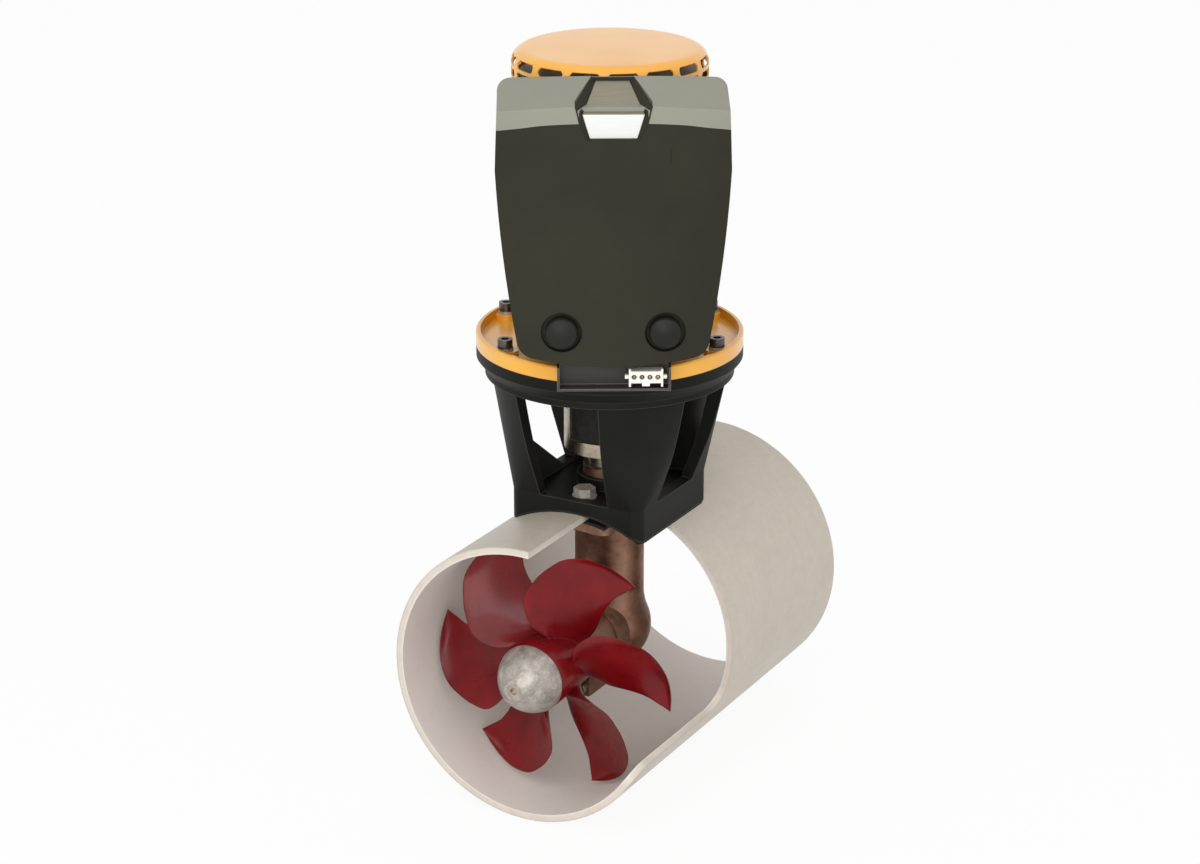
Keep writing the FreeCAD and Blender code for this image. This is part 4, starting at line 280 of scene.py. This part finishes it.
def brushed_insert():
    """Brushed aluminium with painted shade: its sloping upper face is coloured darker than its upright
    front.
    """
    paint = Paint("insert_silver", metallic=0.55)
    paint.rounded(0.4 * MM)
    facing = paint.apart(paint.node("ShaderNodeNewGeometry").outputs["True Normal"])
    # Painted shade: faces that turn upward take the darker colour, upright faces the paler one.
    upper = paint.ramp(facing["Z"], (0.3, 0.0), (0.6, 1.0))
    line = paint.noise(detail=3.0, roughness=0.6, where=paint.scaled(60.0, 60.0, 2200.0))
    front = paint.mix(line, (204, 204, 200), (222, 222, 219))
    top = paint.mix(line, (120, 114, 96), (158, 152, 133))
    paint.colour(paint.mix(upper, front, top))
    paint.rough(paint.ramp(line, (0.3, 0.34), (0.7, 0.48)))
    paint.bump(line, strength=0.12, depth=0.04 * MM)
    return paint.material


def mottled_zinc(name, spread=170.0, metallic=0.6):
    """Cast or galvanised zinc: soft patches of light and dark grey with small scratches and pits."""
    paint = Paint(name, metallic=metallic)
    paint.rounded(0.4 * MM)
    patch = paint.node("ShaderNodeTexVoronoi", feature="SMOOTH_F1")
    paint.wire(paint.place, patch.inputs["Vector"])
    paint.set(patch, Scale=spread)
    shade = paint.node("ShaderNodeSeparateColor")
    paint.wire(patch.outputs["Color"], shade.inputs[0])
    cloud = paint.noise(scale=70.0, detail=7.0, roughness=0.68, distortion=0.8)
    fine = paint.noise(scale=420.0, roughness=0.6)
    base = paint.ramp(shade.outputs[0], (0.1, (158, 152, 143)), (0.9, (198, 193, 184)))
    base = paint.mix(paint.ramp(cloud, (0.42, 0.0), (0.66, 0.75)), base, (128, 121, 112))
    base = paint.mix(paint.ramp(fine, (0.52, 0.0), (0.72, 0.4)), base, (222, 217, 209))
    paint.colour(base)
    paint.rough(paint.ramp(cloud, (0.3, 0.34), (0.7, 0.56)))
    paint.bump(cloud, strength=0.35, depth=0.2 * MM)
    paint.bump(fine, strength=0.2, depth=0.06 * MM)
    return paint.material


def black_rubber():
    """Matte rubber with fine dust."""
    paint = Paint("rubber", specular=0.3)
    paint.rounded(0.5 * MM)
    dust = paint.noise(scale=130.0, detail=5.0, roughness=0.65)
    paint.colour(paint.mix(paint.ramp(dust, (0.45, 0.0), (0.75, 0.5)), (27, 27, 25), (58, 56, 52)))
    paint.rough(paint.ramp(dust, (0.3, 0.66), (0.8, 0.85)))
    paint.bump(dust, strength=0.25, depth=0.1 * MM)
    return paint.material


def red_propeller():
    """Glass-filled red moulding: satin gloss, slightly blotched, with faint flow lines."""
    paint = Paint("propeller_red", specular=0.22, coat=0.1, coat_roughness=0.12)
    paint.rounded(0.6 * MM)
    cloud = paint.noise(scale=32.0, detail=5.0, roughness=0.6)
    flow = paint.noise(roughness=0.6, where=paint.scaled(160.0, 30.0, 30.0))
    base = paint.mix(paint.ramp(cloud, (0.3, 0.0), (0.7, 1.0)), (122, 12, 18), (92, 7, 13))
    paint.colour(paint.mix(paint.ramp(flow, (0.55, 0.0), (0.8, 0.18)), base, (160, 44, 50)))
    paint.rough(paint.ramp(flow, (0.3, 0.24), (0.8, 0.4)))
    paint.bump(flow, strength=0.12, depth=0.12 * MM)
    return paint.material


def wound_copper():
    """Enamelled wire laid side by side."""
    paint = Paint("copper", roughness=0.35, metallic=0.7, coat=0.3)
    line = paint.node("ShaderNodeTexWave", wave_type="BANDS", bands_direction="Z")
    paint.wire(paint.place, line.inputs["Vector"])
    paint.set(line, Scale=220.0, Distortion=1.0, Detail=1.0)
    cloud = paint.noise(scale=40.0, roughness=0.6)
    paint.colour(paint.mix(cloud, (168, 88, 48), (196, 116, 66)))
    paint.bump(line.outputs["Fac"], strength=0.6, depth=0.4 * MM)
    return paint.material


SLOTS = {
    "grp": resin_tunnel(),
    # stand_black, cover_grey and bracket_steel carry a painted highlight along their edges.
    "stand_black": moulded("stand_black", (17, 18, 13), (27, 27, 21), grain=700.0, roughness=0.5,
                           depth=0.12 * MM, specular=0.12, edge_highlight=0.18),
    "rubber": black_rubber(),
    "bronze": metal("bronze", (166, 128, 108), (118, 84, 68), roughness=0.46, stain=(84, 60, 50)),
    "steel": metal("steel", (206, 194, 178), (150, 136, 120), roughness=0.34, turned=True,
                   stain=(112, 92, 74)),
    "dark_steel": metal("dark_steel", (118, 114, 110), (70, 66, 64), roughness=0.32),
    "zinc_plate": mottled_zinc("zinc_plate", spread=500.0, metallic=0.35),
    "zinc": mottled_zinc("zinc"),
    "propeller_red": red_propeller(),
    "orange": coated("orange", (240, 174, 46), (236, 162, 38), coat=0.6),
    "motor_grey": coated("motor_grey", (96, 95, 90), (84, 83, 79)),
    "cast_grey": metal("cast_grey", (150, 148, 142), (120, 118, 112), roughness=0.5),
    "copper": wound_copper(),
    "lamination": metal("lamination", (88, 88, 90), (60, 60, 62), roughness=0.5, turned=True),
    "carbon": moulded("carbon", (30, 30, 30), (44, 44, 44), grain=500.0, roughness=0.6),
    "cover_black": moulded("cover_black", (41, 41, 32), (49, 48, 38), grain=1100.0, roughness=0.52,
                           depth=0.1 * MM, specular=0.12),
    "cover_grey": moulded("cover_grey", (138, 137, 125), (146, 145, 132), grain=1100.0, roughness=0.5,
                          depth=0.1 * MM, specular=0.2, edge_highlight=0.3),
    "insert_silver": brushed_insert(),
    "knob_black": moulded("knob_black", (24, 25, 20), (32, 32, 26), grain=900.0, roughness=0.42,
                          specular=0.2),
    "connector_white": moulded("connector_white", (232, 228, 216), (240, 237, 228), grain=800.0,
                               roughness=0.4),
    "bracket_steel": moulded("bracket_steel", (36, 33, 30), (52, 46, 41), grain=300.0, roughness=0.35,
                             edge_highlight=0.5),
    "contactor_grey": coated("contactor_grey", (82, 84, 86), (70, 72, 74)),
    "board": moulded("board", (60, 52, 42), (74, 64, 52), grain=300.0, roughness=0.45),
}
for part in frame["record"]["subparts"]:
    mesh = nodes[part["node"]].data
    mesh.materials.clear()
    mesh.materials.append(SLOTS[part["material_slot"]])


# Pieces that stand for plainer solids


def finished(mesh_data, name, body, slot, node=None, sharp=32.0):
    """An object from a bmesh, smooth but for its sharp edges, which may stand in place of a node."""
    limit = math.radians(sharp)
    bmesh.ops.recalc_face_normals(mesh_data, faces=mesh_data.faces)
    for face in mesh_data.faces:
        face.smooth = True
    for edge in mesh_data.edges:
        edge.smooth = edge.is_manifold and edge.calc_face_angle(0.0) < limit
    mesh = bpy.data.meshes.new(name)
    mesh_data.to_mesh(mesh)
    mesh_data.free()
    item = bpy.data.objects.new(name, mesh)
    bpy.context.scene.collection.objects.link(item)
    item.data.materials.append(SLOTS[slot])
    if node:
        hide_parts(node)
    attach(item, body)
    return item


def thicken(item, thickness, offset=-1.0):
    """Gives an open sheet its thickness: on one side at offset -1, half on each side at 0."""
    change = item.modifiers.new("sheet", "SOLIDIFY")
    change.thickness = thickness
    change.offset = offset


def smooth_line(points, count):
    """Evenly counted points on a Catmull-Rom curve through a few given ones."""
    ends = [2 * points[0] - points[1]] + points + [2 * points[-1] - points[-2]]
    line = []
    for step in range(count + 1):
        place = step / count * (len(points) - 1)
        index = min(int(place), len(points) - 2)
        share = place - index
        p0, p1, p2, p3 = ends[index:index + 4]
        line.append(0.5 * (2 * p1 + (p2 - p0) * share + (2 * p0 - 5 * p1 + 4 * p2 - p3) * share ** 2
                           + (3 * p1 - p0 - 3 * p2 + p3) * share ** 3))
    return line


def blade_edge(root, outline, tip):
    """A blade's edge in (radius, degrees about the hub); the outline's radii are shares of the tip's."""
    points = [Vector(pair) for pair in root]
    points += [Vector((share * tip, degrees)) for share, degrees in outline]
    return smooth_line(points, count=44)


def blade(mesh_data, turn, tip, hub, centre):
    """A skewed blade on a helicoid: round leading edge, hollow trailing edge and pointed tip corner."""
    lead = blade_edge([(0.92 * hub, -10), (1.5 * hub, -28)],
                      [(0.58, -30), (0.73, -22), (0.84, -14.5), (0.93, -7.5), (0.985, 2), (0.998, 13),
                       (0.99, 24)], tip)
    trail = blade_edge([(0.92 * hub, 34), (1.6 * hub, 29.5)],
                       [(0.6, 23), (0.76, 21.2), (0.9, 23.2), (0.99, 24.4)], tip)
    advance = 27.5 * MM                 # along the shaft for each radian about it
    edge_thick, root_more = 1.8 * MM, 4.4 * MM  # the thickness at the tip, and what the root has more
    fillet, fillet_span = 4 * MM, 0.12  # swell into the hub, and the share of the span that it takes
    camber, full_chord = 4.8 * MM, 30 * MM
    across = 14
    rings = []
    for near, far in zip(lead, trail):
        middle = []
        for step in range(across + 1):
            share = step / across
            radius, degrees = near.lerp(far, share)
            angle = math.radians(degrees)
            out = angle + turn
            spot = Vector((centre + advance * angle, radius * math.cos(out), radius * math.sin(out)))
            middle.append((share, radius, spot))
        chord = middle[-1][2] - middle[0][2]
        halfway = middle[across // 2][2]
        radial = Vector((0, halfway.y, halfway.z)).normalized()
        normal = chord.cross(radial).normalized()
        if normal.x < 0:
            normal.negate()
        front, back = [], []
        for share, radius, spot in middle:
            span = (radius - hub) / (tip - hub)
            thick = edge_thick + root_more * max(0.0, 1 - span) ** 1.6
            thick += fillet * max(0.0, fillet_span - span) / fillet_span
            fullness = math.sqrt(max(0.0, 1 - abs(2 * share - 1) ** 3.2))
            bow = camber * 4 * share * (1 - share) * min(1.0, chord.length / full_chord)
            front.append(spot + normal * (bow - thick / 2 * fullness))
            back.append(spot + normal * (bow + thick / 2 * fullness))
        rings.append([mesh_data.verts.new(spot) for spot in front + back[-2:0:-1]])
    count = len(rings[0])
    for inner, outer in zip(rings, rings[1:]):
        for step in range(count):
            following = (step + 1) % count
            mesh_data.faces.new((inner[step], inner[following], outer[following], outer[step]))
    mesh_data.faces.new(rings[-1])
    mesh_data.faces.new(rings[0])


def lathe(mesh_data, profile, around):
    """Turns a closed profile of (along, radius) about the X axis."""
    rings = []
    for step in range(around):
        angle = 2 * math.pi * step / around
        rings.append([mesh_data.verts.new((along, radius * math.cos(angle), radius * math.sin(angle)))
                      for along, radius in profile])
    for index, ring in enumerate(rings):
        following = rings[(index + 1) % around]
        for step in range(len(profile)):
            after = (step + 1) % len(profile)
            mesh_data.faces.new((ring[step], ring[after], following[after], following[step]))


def add_propeller():
    """The hub and its six blades."""
    low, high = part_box("propeller")
    hub_front, hub_rear = low[0], high[0]
    front_radius, rear_radius, bore = 24 * MM, 22.6 * MM, 8.4 * MM
    crisp, soft = 0.1 * MM, 1.2 * MM
    tip, centre = 89.2 * MM, hub_front + 24 * MM
    blades, first_blade = 6, math.radians(108)
    mesh_data = bmesh.new()
    lathe(mesh_data, [
        (hub_front, bore), (hub_front, front_radius - crisp), (hub_front + crisp, front_radius),
        (hub_rear - soft, rear_radius), (hub_rear - 0.3 * soft, rear_radius - 0.3 * soft),
        (hub_rear, rear_radius - soft), (hub_rear, bore),
    ], around=96)
    for index in range(blades):
        blade(mesh_data, first_blade + index * 2 * math.pi / blades, tip, rear_radius, centre)
    finished(mesh_data, "propeller_moulding", "propeller", "propeller_red", "propeller", sharp=50.0)


def add_cap():
    """The motor's pressed cap: a rounded shoulder and two rows of long slots with cut corners."""
    low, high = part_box("motor_cap")
    radius = (high[0] - low[0]) / 2
    bottom, top = low[2], high[2] + 1.6 * MM
    bend = 9.5 * MM
    rows = [(top - 17.2 * MM, top - 11.6 * MM), (top - 9.4 * MM, top - 3.8 * MM)]
    slots, slot_length, corner = 16, 20 * MM, 1.6 * MM
    pitch = 2 * math.pi / slots
    first_slot = MOTOR_TURN + math.radians(6.5)
    half, cut = slot_length / radius / 2, corner / radius

    # The mesh's columns about a slot's middle: six across the slot, and one between it and the next.
    columns = [-half, -half + cut, -half / 3, half / 3, half - cut, half, pitch / 2]
    open_columns = 5
    levels = [bottom, bottom + 6 * MM, rows[0][0] - 8 * MM]
    open_levels = {}
    for start, end in rows:
        for step in range(4):
            open_levels[len(levels) + step] = step
        levels += [start, start + corner, (start + end) / 2, end - corner, end]
    levels += [top - bend + bend * math.sin(math.radians(angle)) for angle in (41, 50, 60, 70, 80, 90)]

    mesh_data = bmesh.new()
    grid = []
    for level in levels:
        reach = radius
        if level > top - bend:
            reach = radius - bend + math.sqrt(max(0.0, bend ** 2 - (level - top + bend) ** 2))
        line = []
        for slot in range(slots):
            for column in columns:
                angle = first_slot + slot * pitch + column
                line.append(mesh_data.verts.new((reach * math.cos(angle), reach * math.sin(angle), level)))
        grid.append(line)
    # The cut corners, by level and column in the slot: which three of a cell's four corners are filled.
    fills = {(0, 0): (0, 1, 3), (0, 4): (0, 1, 2), (3, 0): (0, 2, 3), (3, 4): (1, 2, 3)}
    for row, (lower, upper) in enumerate(zip(grid, grid[1:])):
        for index in range(len(lower)):
            column = index % len(columns)
            after = (index + 1) % len(lower)
            corners = [lower[index], lower[after], upper[after], upper[index]]
            if row not in open_levels or column >= open_columns:
                mesh_data.faces.new(corners)
            elif (open_levels[row], column) in fills:
                mesh_data.faces.new([corners[number] for number in fills[open_levels[row], column]])
    mesh_data.faces.new(grid[-1])
    loose = [vertex for vertex in mesh_data.verts if not vertex.link_faces]
    bmesh.ops.delete(mesh_data, geom=loose, context="VERTS")
    item = finished(mesh_data, "motor_cap_pressing", "housing", "orange", "motor_cap", sharp=25.0)
    thicken(item, 1.2 * MM)


def reshaped(node, name, body, slot, change, slices, turn=MOTOR):
    """A finer copy of a node's form, cut at places in millimetres along turned axes and then changed."""
    mesh_data = bmesh.new()
    mesh_data.from_mesh(nodes[node].data)
    bmesh.ops.transform(mesh_data, matrix=turn.inverted(), verts=mesh_data.verts)
    bmesh.ops.remove_doubles(mesh_data, verts=mesh_data.verts, dist=0.002 * MM)
    for axis, places in enumerate(slices):
        normal = [0.0, 0.0, 0.0]
        normal[axis] = 1.0
        for place in places:
            spot = [value * place * MM for value in normal]
            everything = mesh_data.verts[:] + mesh_data.edges[:] + mesh_data.faces[:]
            bmesh.ops.bisect_plane(mesh_data, geom=everything, dist=0.01 * MM, plane_co=spot,
                                   plane_no=normal)
    for vertex in mesh_data.verts:
        vertex.co = Vector(change(*(vertex.co / MM))) * MM
    bmesh.ops.transform(mesh_data, matrix=turn, verts=mesh_data.verts)
    finished(mesh_data, name, body, slot, node)


def share_between(value, low, high):
    """0 at low, 1 at high, in a straight line between."""
    return max(0.0, min(1.0, (value - low) / (high - low)))


# The cover's solids in millimetres along the motor's axes: depths from its axis, then heights.
FRONT, RIDGE, BACK = -104, -66.5, -18
FOOT, SLOPE, WIDEST, NOTCH_LOW, SEAM, BEVEL, TOP = 229, 340, 350, 371, 377, 388, 397


def cover_change(x, y, z):
    """Raises the cover's ridge, bows its bevel and colour seam, and slopes the top behind the ridge."""
    side = min(1.0, (x / 70) ** 2)
    depth = share_between(y, FRONT, RIDGE)
    top_rise = (4.6 - 7.6 * side) * (1 - depth) + (6.0 - side) * depth
    seam_rise = 3.7 - 3.4 * side
    at_seam, above = share_between(z, NOTCH_LOW, SEAM), share_between(z, SEAM, BEVEL)
    rise = at_seam * (1 - above) * seam_rise + above * top_rise
    fall = 24.0 * share_between(y, RIDGE, BACK) * share_between(z, SLOPE, TOP)
    wider = 1 + 0.011 * share_between(z, FOOT, WIDEST) + 0.017 * share_between(z, WIDEST, TOP)
    notch = 0.1 * share_between(z, 362, NOTCH_LOW) + 0.14 * share_between(z, NOTCH_LOW, 377.8)
    notch -= 0.2 * share_between(z, 377.8, 386)
    wider += notch * (1 - depth) * (1 - share_between(abs(x), 26, 55))
    return x * wider, y, z + rise - fall


def add_cover():
    """The black shell and the grey top."""
    across = range(-77, 78, 7)
    deep = [-100, -94, -88, -82, -76, -70, RIDGE, -60, -52, -44, -36, -27]
    up = [SLOPE, 355, 365, NOTCH_LOW, 374, SEAM, 380, 384, BEVEL, 391, 394]
    slices = (across, deep, up)
    reshaped("cover_shell", "cover_shell_moulding", "cover", "cover_black", cover_change, slices)
    reshaped("cover_top", "cover_top_moulding", "cover", "cover_grey", cover_change, slices)


def from_motor(x, y, z):
    """A point given in millimetres along the motor's own axes."""
    return MOTOR @ (Vector((x, y, z)) * MM)


# The notch's and the insert's right halves, from the ridge over the bevel to the notch's lower end.
NOTCH_EDGE = [(13.4, -66.5, 402.6), (24.0, -103.8, 392.4), (21.6, -103.9, 381.4), (16.0, -103.9, 370.7)]
INSERT_EDGE = [(10.8, -66.9, 400.1), (19.5, -101.2, 386.6), (17.3, -101.3, 379.0), (14.7, -101.3, 370.6)]


def add_insert():
    """The silver insert, bent across its bevel, sunk between the notch's dark flared sides."""
    point = 1.0                         # how far the insert's lower end hangs in its middle
    steps = range(len(INSERT_EDGE) - 1)
    mesh_data = bmesh.new()
    left, middle, right = [], [], []
    for x, y, z in INSERT_EDGE:
        drop = point if (x, y, z) == INSERT_EDGE[-1] else 0.0
        left.append(mesh_data.verts.new(from_motor(-x, y, z)))
        middle.append(mesh_data.verts.new(from_motor(0, y, z - drop)))
        right.append(mesh_data.verts.new(from_motor(x, y, z)))
    for side, other in ((left, middle), (middle, right)):
        for step in steps:
            mesh_data.faces.new((side[step + 1], other[step + 1], other[step], side[step]))
    item = finished(mesh_data, "cover_insert_pressing", "cover", "insert_silver", "cover_insert",
                    sharp=20.0)
    thicken(item, 1.2 * MM)
    corner = item.modifiers.new("corner", "BEVEL")
    corner.width = 0.35 * MM
    corner.segments = 2
    corner.limit_method = "ANGLE"

    mesh_data = bmesh.new()
    for side in (-1, 1):
        outer, inner = [], []
        for (x, y, z), (inner_x, inner_y, inner_z) in zip(NOTCH_EDGE, INSERT_EDGE):
            outer.append(mesh_data.verts.new(from_motor(side * x, y, z)))
            inner.append(mesh_data.verts.new(from_motor(side * (inner_x + 0.1), inner_y - 0.2, inner_z)))
        for step in steps:
            mesh_data.faces.new((outer[step], outer[step + 1], inner[step + 1], inner[step]))
    half, deep, low, high = 13.2, -66.2, 396, 402.2
    back = [(-half, deep, low), (half, deep, low), (half, deep, high), (-half, deep, high)]
    mesh_data.faces.new([mesh_data.verts.new(from_motor(*spot)) for spot in back])
    item = finished(mesh_data, "cover_notch_sides", "cover", "cover_black", sharp=20.0)
    thicken(item, 0.4 * MM, offset=0.0)


def gasket_change(x, y, z):
    """Rounds the upright corners, a little inside the solid's own sides."""
    half, bend = 49.6, 8.0
    over_x, over_y = abs(x) - (half - bend), abs(y) - (half - bend)
    if over_x <= 0 or over_y <= 0:
        return x, y, z
    reach = math.hypot(over_x, over_y)
    if reach > bend:
        over_x, over_y = over_x * bend / reach, over_y * bend / reach
    return math.copysign(half - bend + over_x, x), math.copysign(half - bend + over_y, y), z


def add_gasket():
    """The rubber under the foot, with corners rounded as the foot's are."""
    places = [side * place for side in (-1, 1) for place in (41.6, 43.5, 45.5, 47.2, 48.6, 49.6)]
    reshaped("foot_gasket", "foot_gasket_moulding", "housing", "rubber", gasket_change, (places, places),
             turn=Matrix.Identity(4))


add_propeller()
add_cap()
add_cover()
add_insert()
add_gasket()


# Floor, light and camera


def seen_by(tree, *rays):
    """1 for the kinds of ray named, 0 for all others."""
    path = tree.nodes.new("ShaderNodeLightPath")
    seen = path.outputs[rays[0]]
    for ray in rays[1:]:
        either = tree.nodes.new("ShaderNodeMath")
        either.operation = "MAXIMUM"
        tree.links.new(seen, either.inputs[0])
        tree.links.new(path.outputs[ray], either.inputs[1])
        seen = either.outputs[0]
    return seen


def between(tree, share, low, high):
    """The value that a share of 0 to 1 picks between two others."""
    item = tree.nodes.new("ShaderNodeMapRange")
    item.inputs["To Min"].default_value = low
    item.inputs["To Max"].default_value = high
    tree.links.new(share, item.inputs["Value"])
    return item.outputs[0]


def studio():
    """A white floor under the tunnel that keeps the object's shadow, and a white surround."""
    size = 6.0
    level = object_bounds()[0][2] - MM
    corners = [(-size, -size, level), (size, -size, level), (size, size, level), (-size, size, level)]
    mesh = bpy.data.meshes.new("studio_floor")
    mesh.from_pydata(corners, [], [(0, 1, 2, 3)])
    floor = bpy.data.objects.new("studio_floor", mesh)
    bpy.context.scene.collection.objects.link(floor)
    material = bpy.data.materials.new("studio_white")
    material.use_nodes = True
    mesh.materials.append(material)
    tree = material.node_tree
    shader = tree.nodes["Principled BSDF"]
    shader.inputs["Base Color"].default_value = (0.9, 0.9, 0.9, 1)
    shader.inputs["Roughness"].default_value = 0.9
    glow = tree.nodes.new("ShaderNodeEmission")
    blend = tree.nodes.new("ShaderNodeMixShader")
    seen = seen_by(tree, "Is Camera Ray", "Is Glossy Ray")
    tree.links.new(between(tree, seen, 0.0, 0.92), blend.inputs[0])
    tree.links.new(shader.outputs[0], blend.inputs[1])
    tree.links.new(glow.outputs[0], blend.inputs[2])
    tree.links.new(blend.outputs[0], tree.nodes["Material Output"].inputs["Surface"])

    world = bpy.data.worlds.new("studio_world")
    world.use_nodes = True
    bpy.context.scene.world = world
    tree = world.node_tree
    sky = tree.nodes["Background"]
    sky.inputs["Color"].default_value = (1, 1, 1, 1)
    seen = seen_by(tree, "Is Camera Ray", "Is Glossy Ray", "Is Transmission Ray")
    tree.links.new(between(tree, seen, 0.7, 1.0), sky.inputs["Strength"])


def aimed(name, data, azimuth, elevation, distance, aim):
    """An object that looks down at a point; azimuth 0 looks along +Y and 90 along -X."""
    turn, rise = math.radians(azimuth), math.radians(elevation)
    toward = Vector((-math.sin(turn) * math.cos(rise), math.cos(turn) * math.cos(rise), -math.sin(rise)))
    item = bpy.data.objects.new(name, data)
    item.location = Vector(aim) - toward * distance
    item.rotation_euler = toward.to_track_quat("-Z", "Y").to_euler()
    bpy.context.scene.collection.objects.link(item)
    return item


def lamp(name, azimuth, elevation, distance, size, power):
    """A square soft lamp that shines at the object's middle."""
    light = bpy.data.lights.new(name, "AREA")
    light.energy = power
    light.shape = "SQUARE"
    light.size = size
    aimed(name, light, azimuth, elevation, distance, aim=(0.0, 0.0, 0.14))


def camera(azimuth, elevation, distance, aim, lens):
    """The photograph's camera."""
    data = bpy.data.cameras.new("camera")
    data.lens = lens
    data.sensor_width = 36.0
    data.sensor_fit = "HORIZONTAL"
    data.clip_end = 50.0
    bpy.context.scene.camera = aimed("camera", data, azimuth, elevation, distance, aim)


studio()
lamp("key", azimuth=-90, elevation=38, distance=2.2, size=1.4, power=10.0)
lamp("fill", azimuth=-28, elevation=28, distance=2.2, size=1.2, power=5.0)
lamp("low", azimuth=-68, elevation=12, distance=2.4, size=1.2, power=14.0)
lamp("top", azimuth=-60, elevation=84, distance=2.0, size=1.6, power=2.5)
camera(azimuth=-61.11, elevation=20.05, distance=2.0342, aim=(-0.00317, 0.00573, 0.14029), lens=89.76)
bpy.context.scene.view_settings.view_transform = "Standard"
